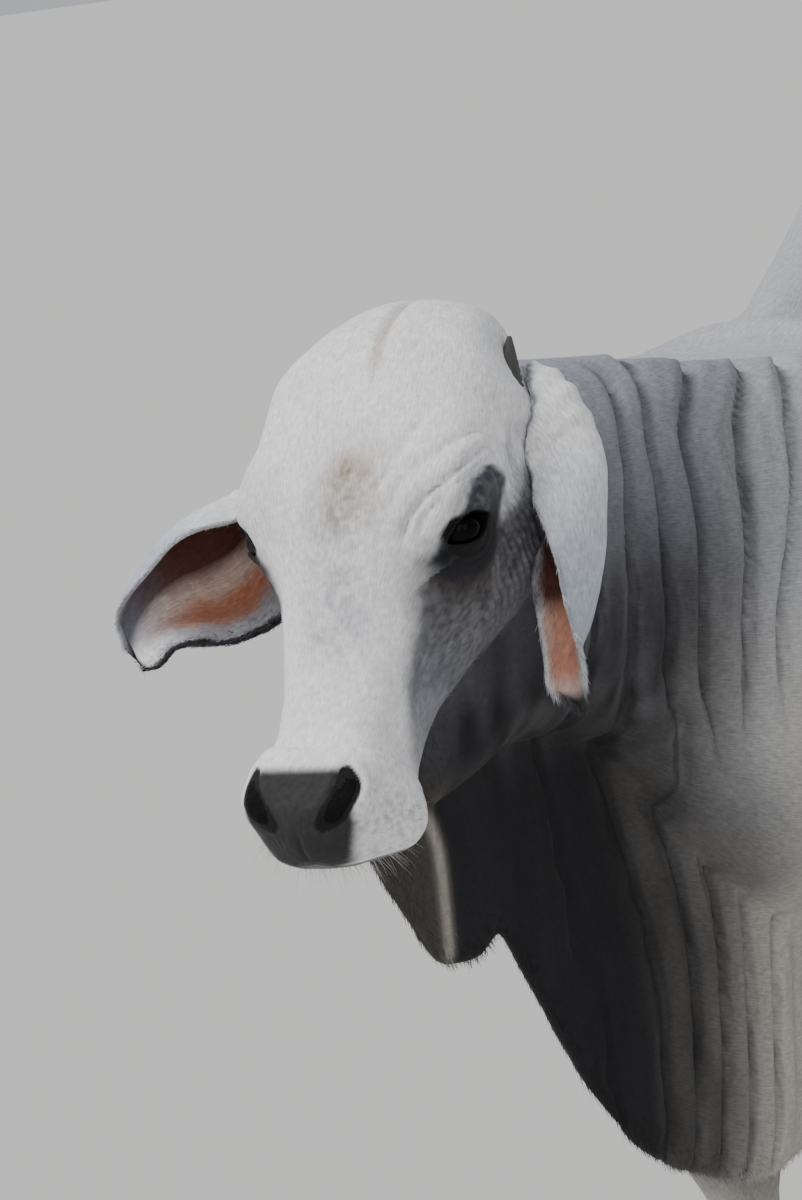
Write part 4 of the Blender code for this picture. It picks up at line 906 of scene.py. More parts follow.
def build_skin():
    """Trunk, head, legs, tail and ears as one closed surface."""
    trunk = surface("skin", trunk_rings(spaced(TRUNK_SPANS), TRUNK_POINTS), TRUNK_PART)
    others = [surface("skull", head_rings(spaced(HEAD_SPANS), HEAD_POINTS), HEAD_PART)]
    for side, word in SIDES:
        for kind, (rows, part) in LEGS.items():
            leg = kind + "leg_" + word
            others.append(surface(leg, leg_rings(leg, rows, side, LEG_POINTS, LEG_RINGS), part))
            others += dewclaw_surfaces(leg, rows, side)
    others += [surface(name, ear_rings(name, EAR_RINGS, EAR_POINTS), part)
               for name, part in zip(EARS, EAR_PARTS)]
    tail = [(y, z, radius, radius) for y, z, radius in TAIL_PATH]
    others.append(surface("tail", spine_rings(tail, 70, 18), TAIL_PART))
    others.append(surface("sheath", spine_rings(SHEATH, 26, 26), SMALL_PART))
    others.append(surface("scrotum", spine_rings(SCROTUM, 34, 28), SMALL_PART))
    return joined(trunk, "UNION", others)


def dewclaw_surfaces(leg, rows, side):
    """Two small horn knobs behind the fetlock."""
    x, y, wide, long = smooth_rows(rows, [DEWCLAW_HEIGHT])[0]
    y += STEP[leg] * step_share(DEWCLAW_HEIGHT)
    made = []
    for way in (-1, 1):
        centre = np.array([side * x + way * wide * 0.45, y + long * 0.80, DEWCLAW_HEIGHT])
        share = np.linspace(0, 1, 12)
        path = centre + np.outer(share, [0.0, 0.020, -0.022])
        radii = DEWCLAW * np.interp(share, np.linspace(0, 1, 4), (0.9, 1.0, 0.8, 0.45))
        made.append(surface("dewclaw", tube_rings(path, radii, 16), SMALL_PART))
    return made


def fair_joins(skin):
    """Each join softened over its own reach, so that no line shows where the parts meet."""
    mesh = skin.data
    pairs = edge_pairs(mesh)
    seam, low, high = seam_kinds(mesh, pairs)
    points = read(mesh, "co", 3)
    along = to_head(points)[:, 0]
    jaw = seam & (low == TRUNK_PART) & (high == HEAD_PART)
    plan = (
        (seam & (high == HIND_PART), 0.150, 100),
        (seam & (high == FORE_PART), 0.120, 85),
        (seam & (high == TAIL_PART), 0.060, 36),
        (jaw & (along < 0.05), 0.050, 44),
        (jaw & (along >= 0.05), 0.014, 5),
        (seam & np.isin(high, EAR_PARTS), 0.012, 8),
        (seam & (high == SMALL_PART), 0.010, 6),
    )
    for seeds, reach, rounds in plan:
        points = faired(points, pairs, seeds, reach, rounds)
    write_points(mesh, points)


def around_eye(local):
    """For points of the head's frame: distance from the nearer eye, and the turn about it, 0 at the poll."""
    offset = on_left(local) - EYE_PLACE
    return np.linalg.norm(offset, axis=1), np.arctan2(offset[:, 2] + 0.3 * offset[:, 1], -offset[:, 0])


def swell_lids(points, head):
    """The lids stand over the eyeball: no skin comes nearer to its centre than the lids' reach."""
    local = to_head(points)
    for side, _ in SIDES:
        centre = on_side(EYE_PLACE, side)
        offset = local - centre
        far = np.linalg.norm(offset, axis=1)
        soft = 0.5 * (far + LID_REACH + np.sqrt((far - LID_REACH) ** 2 + 0.004 ** 2))
        near = head * ease(far, 0.060, 0.032)
        local = centre + offset * (1 + near * (soft / np.maximum(far, 1e-6) - 1))[:, None]
    return from_head(local)


def crease_depth(local):
    """How deep the creases round the eyes cut: each is sharp at its line and fades out at its ends."""
    flat = on_left(local)
    total = np.zeros(len(local))
    near = np.linalg.norm(flat - EYE_PLACE, axis=1) < 0.14
    share = np.linspace(0, 1, 60)
    for depth, width, rows in BROW_CREASES:
        gap = np.linalg.norm(flat[near][:, None] - along_curve(rows, share)[None], axis=2)
        at = share[gap.argmin(axis=1)]
        cut = depth * np.exp(-gap.min(axis=1) / width) * window(at, 0.0, 0.16, 0.75, 1.0)
        total[near] = np.maximum(total[near], cut)
    return total * np.where(local[:, 1] < 0, 0.5, 1.0)


def poll_crease(local):
    """1 in the dent that runs down the forehead from the poll."""
    a, c, b = local.T
    return bump(c - 0.010 - 0.15 * (a - 0.033), 0.0, 0.006) * ease(a, 0.115, 0.06) * ease(b, -0.06, -0.03)


def nostril_gap(local):
    """How far each point lies outside the rim of its nearer nostril; below nought it is inside."""
    flat = on_left(local)
    rows = along_curve(NOSTRIL, np.linspace(0, 1, 30))
    gap = np.full(len(local), 0.2)
    near = flat[:, 0] > 0.42
    gap[near] = (np.linalg.norm(flat[near][:, None] - rows[None, :, :3], axis=2) - rows[:, 3]).min(axis=1)
    return gap


def nose_pad(local):
    """1 on the bare skin between and round the nostrils and down to the lips' front."""
    a, c, b = local.T
    limit = np.interp(a, (0.470, 0.490, 0.520, 0.539, 0.550), (0.046, 0.060, 0.056, 0.044, 0.034))
    return ease(a, 0.468, 0.480) * ease(np.abs(c), limit + 0.005, limit - 0.004) * ease(b, -0.066, -0.052)


def eye_relief(local, wander):
    """The roll above the eye, the groove over its lid, and fine rings in front of and below it."""
    far, turn = around_eye(local)
    roll = 0.0024 * window(far, 0.028, 0.036, 0.060, 0.085) * ease(turn, -0.5, 0.3)
    lid = 0.0016 * bump(far, 0.0295, 0.0016) * window(turn, -0.9, -0.2, 2.0, 2.6)
    under = ease(turn, -0.3, -1.0) + ease(turn, 2.4, 2.9)
    rings = 0.0007 * ripple(far + 0.0025 * wander - 0.028, 0.0062) * under * ease(far, 0.052, 0.034)
    return roll - lid + rings


def temple_relief(local, wander):
    """Upright wrinkles on the temple and the bony ridge below it."""
    a, c, b = local.T
    out = np.abs(c)
    far, _ = around_eye(local)
    across = a + 0.416 * b
    temple = ease(b, -0.062, -0.080) * window(across, 0.090, 0.110, 0.200, 0.235) * ease(out, 0.03, 0.06)
    wrinkles = 0.0013 * ripple(across + 0.004 * wander, 0.0088) * temple * ease(far, 0.040, 0.060)
    ridge = bump(b + 0.090 - 0.10 * (a - 0.14), 0.0, 0.010) * window(a, 0.09, 0.12, 0.17, 0.21)
    return wrinkles + 0.0030 * ridge * ease(out, 0.08, 0.10)


def poll_relief(local):
    """A swelling of the far brow, the near side's hollow for the horn, and the forehead's dent."""
    a, c, b = local.T
    swelling = 0.008 * bump(a, 0.078, 0.045) * ease(c, -0.050, -0.085)
    hollow = 0.011 * bump(a, 0.012, 0.042) * bump(b, -0.115, 0.050) * ease(c, 0.050, 0.075)
    banks = 0.0020 * bump(np.abs(c), 0.030, 0.022) * bump(a, 0.05, 0.05)
    return swelling - hollow + banks - 0.0055 * poll_crease(local)


def muzzle_relief(local, wander):
    """The ledge over the nose pad, the lip's middle groove, the nostrils' rims and the pad's grain."""
    a, c, b = local.T
    edge = 0.4465 + 0.006 * ease(np.abs(c), 0.045, 0.0) - 0.05 * np.clip(-0.02 - b, 0, 0.08) + 0.0015 * wander
    upper = ease(b, -0.110, -0.080)
    ledge = 0.0034 * ease(a, edge - 0.0025, edge + 0.0025) * ease(a, 0.50, 0.46) * upper
    groove = 0.0012 * bump(a, edge - 0.004, 0.003) * upper
    middle = 0.0020 * bump(c, 0.0, 0.0030) * ease(a, 0.505, 0.53) * window(b, -0.060, -0.050, -0.020, -0.010)
    rims = 0.0030 * bump(nostril_gap(local), 0.005, 0.005) * ease(a, 0.52, 0.49)
    return ledge - groove - middle + rims + noise(local, 0.0035, 24) * 0.0005 * nose_pad(local)


def face_relief(local):
    """How far each point of the head's skin stands out: folds, wrinkles, bones and grooves."""
    wander = noise(local, 0.022, 21)
    lumps = noise(local, 0.030, 22) * 0.0010 + noise(local, 0.008, 23) * 0.0003
    return (lumps - crease_depth(local) + eye_relief(local, wander) + temple_relief(local, wander)
            + poll_relief(local) + muzzle_relief(local, wander))


def loose_skin(points, passed):
    """1 where the neck's skin lies in creases: not on the head, the back or the points of the shoulders."""
    x, y, z = points.T
    point = bump(np.abs(x), 0.17, 0.10) * bump(y, -0.46, 0.12) * bump(z, 0.82, 0.16)
    last = len(FOLDS) - 1
    return window(passed, 0.2, 0.6, last - 1.0, last - 0.1) * ease(point, 0.45, 0.08)


def body_relief(points):
    """How far the body's skin stands out: ribs, shoulder creases, flank folds and slow lumps."""
    x, y, z = points.T
    side = np.abs(x)
    ribs = ripple(y, 0.062, 0.6) * window(y, 0.02, 0.12, 0.44, 0.56)
    relief = 0.0022 * ribs * bump(z, 1.02, 0.14) * ease(side, 0.20, 0.26)
    creases = ripple(y + 0.25 * (z - 0.9) + 0.02 * noise(points, 0.09, 31), 0.034)
    front = window(y, -0.44, -0.36, -0.20, -0.06) * window(z, 0.60, 0.75, 1.15, 1.30)
    relief += 0.0016 * creases * front * ease(side, 0.08, 0.16)
    elbow = bump(y, -0.09, 0.05) * bump(z, 0.72, 0.08)
    relief += 0.0025 * ripple(y * 0.6 + z, 0.030) * elbow * ease(side, 0.10, 0.16)
    passed = crease_count(y, z)
    folds = ease(1 - np.abs(np.sin(math.pi * passed + 0.5 * noise(points, 0.03, 34))), 0.60, 1.0)
    relief -= 0.0050 * folds * loose_skin(points, passed)
    return relief + noise(points, 0.16, 32) * 0.005 * ease(y, -0.2, 0.0) + noise(points, 0.045, 33) * 0.0012


def ear_relief(points, place):
    """Fine lumps, and wrinkles across the back of the ear's root."""
    root = ease(place[:, 1], 0.42, 0.12) * (place[:, 2] < 0.5)
    wrinkles = np.sin(place[:, 1] * 105 + 7 * place[:, 2] + 1.5 * noise(points, 0.03, 42)) * root
    return noise(points, 0.012, 41) * 0.0004 + 0.0020 * wrinkles


def sculpt(skin):
    """Lids, folds, wrinkles and bones pushed out of the smooth skin, which then sinks by the coat's depth."""
    mesh = skin.data
    part = np.round(read(mesh, "part", 1))
    pairs = edge_pairs(mesh)
    points = read(mesh, "co", 3)
    head = (part == HEAD_PART).astype(float)[:, None]
    for _ in range(6):
        head = neighbour_mean(head, pairs)
    head = head[:, 0]
    points = swell_lids(points, head)
    write_points(mesh, points)
    normal = read(mesh, "normal", 3)
    body = np.isin(part, (TRUNK_PART, *LEG_PARTS)).astype(float)
    amount = face_relief(to_head(points)) * head + body_relief(points) * body
    amount += np.where(np.isin(part, EAR_PARTS), ear_relief(points, read(mesh, "place", 3)), 0)
    write_points(mesh, points + normal * (amount - SKIN_DEPTH)[:, None])


def carve(skin):
    """Eye sockets, the openings between the lids, nostrils and the line of the mouth, with soft rims."""
    cutters = [surface("mouth", mouth_rings(), HOLE_PART)]
    for side, _ in SIDES:
        centre = from_head(on_side(EYE_PLACE, side))
        cutters.append(surface("socket", ball_rings(centre, EYE_RADIUS + 0.0003, 40, 60), HOLE_PART))
        cutters.append(surface("opening", lid_opening(side), HOLE_PART))
        cutters.append(surface("nostril", nostril_rings(side), HOLE_PART))
    joined(skin, "DIFFERENCE", cutters)
    mesh = skin.data
    points = read(mesh, "co", 3)
    far, _ = around_eye(to_head(points))
    rims = (read(mesh, "part", 1) < 0.99) & (far > EYE_RADIUS + 0.0012)
    write_points(mesh, faired(points, edge_pairs(mesh), rims, 0.0035, 2, 6))


def ball_rings(centre, radius, along, around):
    """A sphere as rings about its vertical axis."""
    lift = np.linspace(0, math.pi, along + 1)[1:-1, None]
    turn = full_turn(around)
    ring = np.stack([np.sin(lift) * np.cos(turn), np.sin(lift) * np.sin(turn),
                     np.broadcast_to(np.cos(lift), (along - 1, around))], axis=2)
    return np.asarray(centre) + radius * ring


# Colours.

# Colours of the hide. Some of them also carry painted shade: charcoal and smoke in creases, lid under the
# brow, the ear cups' dark flesh deep inside them, and rim in the cut hollows and nostrils.
HIDE = {
    "white": "#f0eff0",
    "ice": "#b6bcc9",
    "ash": "#90929c",
    "silver": "#b0b0b3",
    "grey": "#76777f",
    "smoke": "#47464b",
    "charcoal": "#1a191d",
    "nose": "#0e0d10",
    "cream": "#bdb7aa",
    "tan": "#8f7852",
    "olive": "#4b4741",
    "lid": "#383b42",
    "pink": "#cf8869",
    "shaded flesh": "#5f3a30",
    "pale pink": "#e6cabb",
    "rim": "#0c0b0d",
    "salmon": "#dda892",
    "brown": "#33291f",
}

# Ramps of named colours: up the neck and chest, along the cheek, along the ear's back and across its cup.
NECK_RAMP = ((0.84, "charcoal"), (1.06, "charcoal"), (1.16, "smoke"), (1.24, "grey"), (1.40, "ash"))
CHEST_RAMP = ((0.60, "olive"), (1.00, "olive"), (1.14, "smoke"), (1.27, "grey"), (1.40, "ash"))
CHEEK_RAMP = ((0.10, "grey"), (0.18, "smoke"), (0.30, "smoke"), (0.37, "grey"), (0.45, "silver"))
EAR_BACK_RAMP = ((0.0, "white"), (0.30, "white"), (0.62, "ice"), (1.0, "ice"))
# The flesh stops are the cup's bare dark skin, darkened further as painted shade deep in the cup near the
# root.
FAR_ROOT_RAMP = ((-1.0, "grey"), (-0.62, "silver"), (-0.50, "pink"), (-0.34, "pink"), (-0.27, "pale pink"),
                 (-0.14, "pale pink"), (-0.04, "shaded flesh"), (0.50, "shaded flesh"), (0.75, "grey"), (1.0, "white"))
FAR_TIP_RAMP = ((-1.0, "silver"), (-0.70, "white"), (-0.30, "white"), (0.0, "grey"), (0.7, "grey"),
                (1.0, "silver"))
NEAR_ROOT_RAMP = ((-1.0, "grey"), (-0.96, "silver"), (-0.88, "shaded flesh"), (0.70, "shaded flesh"), (1.0, "white"))
NEAR_TIP_RAMP = ((-1.0, "white"), (-0.90, "pale pink"), (-0.70, "salmon"), (0.6, "salmon"),
                 (0.85, "pale pink"), (1.0, "white"))

# The upper border of the dark cheek and of the dark upper lid with its painted shade under the brow, as
# height at places along the face.
CHEEK_BORDER = ((0.05, 0.10, 0.16, 0.20, 0.235, 0.250, 0.266, 0.295, 0.333, 0.375, 0.430),
                (-0.16, -0.115, -0.082, -0.066, -0.042, -0.026, -0.014, -0.024, -0.040, -0.058, -0.085))
LID_BORDER = ((0.155, 0.166, 0.188, 0.205, 0.235, 0.265), (-0.040, -0.023, -0.006, -0.001, -0.008, -0.017))


def linear(code):
    """A hex sRGB colour as linear red, green and blue."""
    channels = np.array([int(code[k:k + 2], 16) for k in (1, 3, 5)]) / 255
    return np.where(channels <= 0.04045, channels / 12.92, ((channels + 0.055) / 1.055) ** 2.4)


def mixed(colour, other, amount):
    """The colours moved towards others by an amount from 0 to 1 at each point."""
    amount = np.clip(amount, 0, 1)[:, None]
    return colour * (1 - amount) + other * amount


def paint(colour, name, amount):
    """The colours moved towards a named one by an amount from 0 to 1."""
    return mixed(colour, linear(HIDE[name]), amount)


def plain(name, points):
    """One named colour at every point."""
    return np.broadcast_to(linear(HIDE[name]), points.shape).copy()


def stops(value, rows):
    """A colour read off a ramp of named stops at the given values."""
    at = [row[0] for row in rows]
    colours = np.array([linear(HIDE[row[1]]) for row in rows])
    return np.stack([np.interp(value, at, colours[:, k]) for k in range(3)], axis=1)


def neck_paint(colour, points, mottle, streak):
    """The dark neck, throat and dewlap, painted shade in their creases, and the pale top of the hump."""
    x, y, z = points.T
    passed = crease_count(y, z)
    back = ease(passed, 6.4, 3.7)
    back = back * (1 - 0.55 * bump(np.abs(x), 0.17, 0.10) * bump(y, -0.46, 0.12) * bump(z, 0.90, 0.14))
    level = z + 0.03 * mottle
    neck = mixed(stops(level, NECK_RAMP), stops(level, CHEST_RAMP), ease(passed, 2.6, 4.0))
    colour = mixed(colour, neck, back * (0.92 + 0.16 * mottle + 0.10 * streak))
    dark = ease(z, 1.08, 0.94) * ease(passed, 2.5, 1.5) * ease(y, -0.40, -0.48)
    colour = paint(colour, "charcoal", dark * 0.95)
    edge = bump(passed, 2.5, 0.45) * ease(z, 1.02, 0.90) * ease(y, -0.40, -0.50)
    colour = paint(colour, "olive", 0.55 * edge)
    colour = paint(colour, "olive", 0.8 * ease(y, -0.850, -0.866) * ease(z, 1.02, 0.98))
    stripe = bump(y, -0.852 - 0.012 * ease(z, 0.92, 0.98), 0.0075) * window(z, 0.806, 0.826, 0.950, 0.985)
    colour = paint(colour, "cream", 0.75 * stripe)
    colour = paint(colour, "white", 0.35 * bump(y, 0.16, 0.16) * ease(z, 1.36, 1.46))
    # Painted shade: charcoal laid into the creases between the rolls of loose skin.
    crease_shade = ease(1 - np.abs(np.sin(math.pi * passed)), 0.55, 1.0)
    return paint(colour, "charcoal", 0.70 * crease_shade * loose_skin(points, passed))


def body_markings_and_painted_shade(points):
    """Trunk, legs and tail: silver, darker on the neck, under the throat and down the dewlap, with painted
    shade in the neck's creases.
    """
    x, y, z = points.T
    side = np.abs(x)
    mottle = noise(points, 0.14, 51) * 0.5 + noise(points, 0.05, 52) * 0.3
    streak = noise(points * [1, 1, 0.2], 0.016, 53)
    colour = paint(plain("silver", points), "cream", 0.7 * ease(y, -0.56, -0.40) * ease(z, 1.15, 0.90))
    colour = neck_paint(colour, points, mottle, streak)
    colour = paint(colour, "grey", 0.55 * ease(y, 0.62, 0.95) * window(z, 0.50, 0.75, 1.05, 1.32))
    knees = bump(z, KNEE_HEIGHT, 0.05) * ease(y, -0.05, -0.12) * ease(side, 0.10, 0.12)
    colour = paint(colour, "smoke", 0.6 * knees)
    colour = paint(colour, "smoke", 0.55 * ease(z, 0.20, 0.11))
    colour = paint(colour, "grey", 0.5 * ease(z, 0.66, 0.60) * ease(side, 0.06, 0.02) * ease(y, -0.1, 0.1))
    return colour * (1 + 0.08 * mottle + 0.05 * streak)[:, None]


def cheek_paint(colour, points, local, mottle, speck):
    """Dark, streaked cheeks and temples, darkest round the eyes."""
    a, c, b = local.T
    out = np.abs(c)
    far, _ = around_eye(local)
    border = np.interp(a, *CHEEK_BORDER)
    shaded = ease(b + 0.006 * mottle, border + 0.016, border - 0.018)
    shaded = shaded * ease(out, 0.030, 0.050) * ease(a, 0.455, 0.425)
    colour = mixed(colour, stops(a + 0.03 * mottle, CHEEK_RAMP), shaded * (0.94 + 0.10 * speck))
    streak = noise(points * [1, 1, 0.10], 0.006, 64)
    colour = paint(colour, "ash", 0.40 * shaded * ease(streak, -0.1, 0.8) * ease(b, -0.050, -0.080))
    colour = paint(colour, "grey", 0.40 * shaded * ease(b, -0.110, -0.160) * ease(a, 0.14, 0.19))
    temple = ease(b, -0.045, -0.070) * ease(out, 0.085, 0.110) * window(a, 0.07, 0.11, 0.200, 0.235)
    colour = paint(colour, "grey", (1 - shaded) * temple * (0.30 + 0.45 * streak))
    colour = paint(colour, "brown", 0.85 * shaded * bump(a, 0.268, 0.034) * ease(far, 0.095, 0.035))
    return paint(colour, "charcoal", 0.80 * shaded * ease(far, 0.062, 0.032) * ease(a, 0.215, 0.240))


def bridge_paint(colour, local, mottle, speck):
    """A tan smudge between the eyes and grey specks down the bridge of the nose."""
    a, c, b = local.T
    smudge = bump(a, 0.205, 0.045) * bump(c, 0.014, 0.034) * ease(b, 0.0, 0.015)
    colour = paint(colour, "tan", smudge * (0.62 + 0.5 * mottle + 0.25 * speck))
    speckled = bump(c, 0.010, 0.045) * window(a, 0.17, 0.24, 0.33, 0.42) * ease(b, -0.03, -0.01)
    return paint(colour, "grey", speckled * (0.26 + 0.50 * mottle + 0.25 * speck))


def eye_paint(colour, local, mottle, speck):
    """The thick dark upper lid with painted shade from the overhanging brow, black lid rims and inner corner,
    and painted shade in the creases over the brow and in the forehead's dent.
    """
    a, c, b = local.T
    out = np.abs(c)
    far, turn = around_eye(local)
    colour = paint(colour, "silver", 0.35 * ease(far, 0.095, 0.050) * ease(turn, -0.4, 0.3) * (1 + mottle))
    high = np.interp(a, *LID_BORDER) - 0.014 * (c < 0)
    # Painted shade: the upper lid under the brow is painted dark, partly its own dark skin and partly the
    # brow's shade.
    shaded_lid = ease(b, high + 0.001, high - 0.004) * ease(b, -0.066, -0.056)
    shaded_lid = shaded_lid * window(a, 0.156, 0.166, 0.262, 0.272)
    colour = paint(colour, "lid", 0.95 * shaded_lid * ease(out, 0.070, 0.085) * (1 + 0.1 * speck))
    colour = paint(colour, "charcoal", 0.9 * ease(far, 0.056, 0.034) * ease(turn, 0.8, -0.1))
    colour = paint(colour, "rim", bump(a, 0.256, 0.014) * bump(out, 0.100, 0.016) * bump(b, -0.024, 0.011))
    colour = paint(colour, "rim", ease(far, 0.0300, 0.0262))
    # Painted shade in the creases over the brow, kept off the upper lid's own painted shade.
    colour = paint(colour, "smoke", 0.85 * ease(crease_depth(local), 0.0030, 0.0070) * (1 - shaded_lid))
    # Painted shade, tinted tan, in the dent that runs down the forehead from the poll.
    return paint(colour, "tan", 0.5 * poll_crease(local))


def muzzle_paint(colour, local, mottle, speck):
    """Greyed upper lips, the nearly black nose, nostrils with dark rims and painted shade inside them, and
    the dark lower lip.
    """
    a, c, b = local.T
    lip = ease(a, 0.465, 0.485) * ease(b, -0.100, -0.070) * ease(np.abs(c), 0.040, 0.055)
    colour = paint(colour, "grey", lip * ease(speck + 0.6 * mottle, -0.2, 0.9) * 0.45)
    colour = paint(colour, "nose", nose_pad(local) * 0.97)
    line = smooth_rows([(row[0], row[2]) for row in MOUTH], np.clip(a, 0.447, 0.549))[:, 0]
    colour = paint(colour, "smoke", 0.85 * ease(b, line + 0.001, line - 0.004) * ease(a, 0.42, 0.46))
    # The nostrils' rims are dark skin; inside them the black is painted shade.
    return paint(colour, "rim", ease(nostril_gap(local), 0.0012, -0.0010))


def face_markings_and_painted_shade(points):
    """White forehead and nose bridge, dark cheeks and lids, a nearly black nose, and painted shade under the
    brow, in the creases round the eyes and forehead and inside the nostrils.
    """
    local = to_head(points)
    mottle = noise(local, 0.030, 61) * 0.6 + noise(local, 0.010, 62) * 0.4
    speck = noise(local, 0.0045, 63)
    colour = cheek_paint(plain("white", points), points, local, mottle, speck)
    for paint_on in (bridge_paint, eye_paint, muzzle_paint):
        colour = paint_on(colour, local, mottle, speck)
    return colour * (1 + 0.07 * mottle + 0.04 * speck)[:, None]


def across_ear(around):
    """How far across the ear a point lies, from -1 to 1, on its back and in its cup alike."""
    return np.where(around >= 0.5, 3 - 4 * around, 4 * around - 1)


def ear_markings_and_painted_shade(points, place):
    """Pale hair on the back, and bare pink skin in the cup with dark flesh in it that is partly painted
    shade, and a dark lower margin and tip.
    """
    part, along, around = place.T
    inner = around >= 0.5
    right = np.round(part) == EAR_RIGHT_PART
    mottle = noise(points, 0.02, 71)
    across = np.sin(across_ear(around) * math.pi / 2)
    drift = across + 0.05 * mottle
    back = stops(along + 0.05 * mottle, EAR_BACK_RAMP)
    far_cup = mixed(stops(drift, FAR_ROOT_RAMP), stops(drift, FAR_TIP_RAMP), ease(along, 0.50, 0.85))
    near_cup = mixed(stops(drift, NEAR_ROOT_RAMP), stops(drift, NEAR_TIP_RAMP), ease(along, 0.58, 0.66))
    colour = np.where(inner[:, None], np.where(right[:, None], far_cup, near_cup), back)
    colour = paint(colour, "white", 0.6 * inner * ease(along, 0.80, 0.95) * (1 - right))
    margin = right * ease(across + 0.10 * mottle, -0.86, -0.94) * ease(along, 0.10, 0.30)
    colour = paint(colour, "rim", 0.92 * margin)
    tip = ease(along + 0.02 * mottle, 0.90, 0.96) * np.where(right, ease(across, 0.7, 0.2), 1.0)
    colour = paint(colour, "rim", 0.90 * tip)
    return colour * (1 + 0.08 * noise(points, 0.004, 72))[:, None]


def markings_and_painted_shade(points, part, place):
    """Every marking of the hide at the given points, for the skin and for the coat alike, with painted shade
    in the creases, under the brows, deep in the ear cups and in the cut hollows.
    """
    part = np.round(part)[:, None]
    near_head = (to_head(points)[:, :1] > 0.12) & (points[:, 1:2] < -0.70)
    face = (part == HEAD_PART) | (part == 0) & near_head
    colour = np.where(face, face_markings_and_painted_shade(points), body_markings_and_painted_shade(points))
    # Painted shade: the walls cut for the mouth's line, the lid openings, the sockets and the nostrils are
    # darker than the black lid rims.
    colour = np.where(part == HOLE_PART, linear(HIDE["rim"]) * 0.5, colour)
    return np.where(np.isin(part, EAR_PARTS), ear_markings_and_painted_shade(points, place), colour)


def colour_attribute(mesh, colour):
    """Stores one linear colour a point under the name markings."""
    values = np.ones((len(colour), 4), np.float32)
    values[:, :3] = np.clip(colour, 0, 1)
    mesh.attributes.new("markings_and_painted_shade", "FLOAT_COLOR", "POINT").data.foreach_set("color", values.ravel())


# Materials.


def node(tree, kind, settings=None, **links):
    """Adds a node, sets its properties and sockets by name, and links sockets given as outputs."""
    made = tree.nodes.new(kind)
    for name, value in (settings or {}).items():
        if hasattr(made, name):
            setattr(made, name, value)
        else:
            made.inputs[name].default_value = value
    for name, output in links.items():
        socket = made.inputs[int(name[1:])] if name[0] == "_" else made.inputs[name]
        tree.links.new(output, socket)
    return made


def finish(name, **sockets):
    """A new material, its tree and its Principled shader, with the shader's sockets set by name."""
    made = bpy.data.materials.new(name)
    made.use_nodes = True
    shader = made.node_tree.nodes["Principled BSDF"]
    for socket, value in sockets.items():
        shader.inputs[socket.replace("_", " ")].default_value = value
    return made, made.node_tree, shader


def markings_and_painted_shade_node(tree):
    """The markings stored in the mesh, as a colour."""
    return node(tree, "ShaderNodeAttribute", {"attribute_name": "markings_and_painted_shade"}).outputs["Color"]


def grain_node(tree, vector, scale, detail, **settings):
    """Noise of a scale and a detail over a vector, as a value."""
    settings = {"Scale": scale, "Detail": detail, **settings}
    return node(tree, "ShaderNodeTexNoise", settings, Vector=vector).outputs["Fac"]


def two_tone(tree, shader, value, dark, pale, span=(0.0, 1.0)):
    """The base colour as a ramp from a dark to a pale hex colour over a span of the value."""
    ramp = node(tree, "ShaderNodeValToRGB", Fac=value)
    for element, at, code in zip(ramp.color_ramp.elements, span, (dark, pale)):
        element.position = at
        element.color = (*linear(code), 1)
    tree.links.new(ramp.outputs["Color"], shader.inputs["Base Color"])


def raised(tree, shader, height, strength, distance, **links):
    """A bump of a strength and a height in metres, as the shader's normal."""
    lift = node(tree, "ShaderNodeBump", {"Strength": strength, "Distance": distance}, Height=height, **links)
    tree.links.new(lift.outputs["Normal"], shader.inputs["Normal"])
    return lift.outputs["Normal"]


def shade_node(tree, value, low, high):
    """A noise value spread to a shade from low to high."""
    settings = {"From Min": 0.3, "From Max": 0.7, "To Min": low, "To Max": high}
    return node(tree, "ShaderNodeMapRange", settings, Value=value).outputs["Result"]


def hide_material():
    """Short cattle hair over loose skin: matt, softly streaked along its lie, with a faint pale bloom."""
    made, tree, shader = finish("short_cattle_hair_hide", Roughness=0.68, Specular_IOR_Level=0.20,
                                Sheen_Weight=0.06, Sheen_Roughness=0.45)
    colour = markings_and_painted_shade_node(tree)
    lie = node(tree, "ShaderNodeUVMap", {"uv_map": "lie"}).outputs["UV"]
    spot = node(tree, "ShaderNodeTexCoord").outputs["Object"]
    # Hairs lie 1.2 mm apart and 12 mm long here; the real ones are finer, too fine for the render.
    stretch = node(tree, "ShaderNodeMapping", {"Scale": (80.0, 800.0, 1.0)}, Vector=lie)
    hair = grain_node(tree, stretch.outputs["Vector"], 1.0, 3.0, Roughness=0.6)
    # Clumps of hair are about 6 mm across, and skin grain is about 1 mm.
    clumps = grain_node(tree, spot, 170.0, 4.0)
    grain = grain_node(tree, spot, 900.0, 2.0)
    shade = shade_node(tree, hair, 0.74, 1.17)
    patch = shade_node(tree, clumps, 0.86, 1.09)
    both = node(tree, "ShaderNodeMath", {"operation": "MULTIPLY"}, _0=shade, _1=patch)
    tint = node(tree, "ShaderNodeMix", {"data_type": "RGBA", "blend_type": "MULTIPLY"},
                _6=colour, _7=both.outputs[0])
    tint.inputs[0].default_value = 1.0
    tree.links.new(tint.outputs[2], shader.inputs["Base Color"])
    relief = node(tree, "ShaderNodeMath", {"operation": "ADD"}, _0=hair, _1=grain)
    fine = raised(tree, shader, relief.outputs[0], 0.45, 0.0008)
    raised(tree, shader, clumps, 0.5, 0.0016, Normal=fine)
    return made


def horn_material():
    """Weathered keratin horn: grey-brown, dull, streaked lengthways and scuffed pale."""
    made, tree, shader = finish("weathered_keratin_horn", Roughness=0.55)
    spot = node(tree, "ShaderNodeTexCoord").outputs["Object"]
    streak = grain_node(tree, spot, 220.0, 4.0)
    two_tone(tree, shader, streak, "#201f20", "#575451")
    raised(tree, shader, streak, 0.4, 0.0006)
    return made


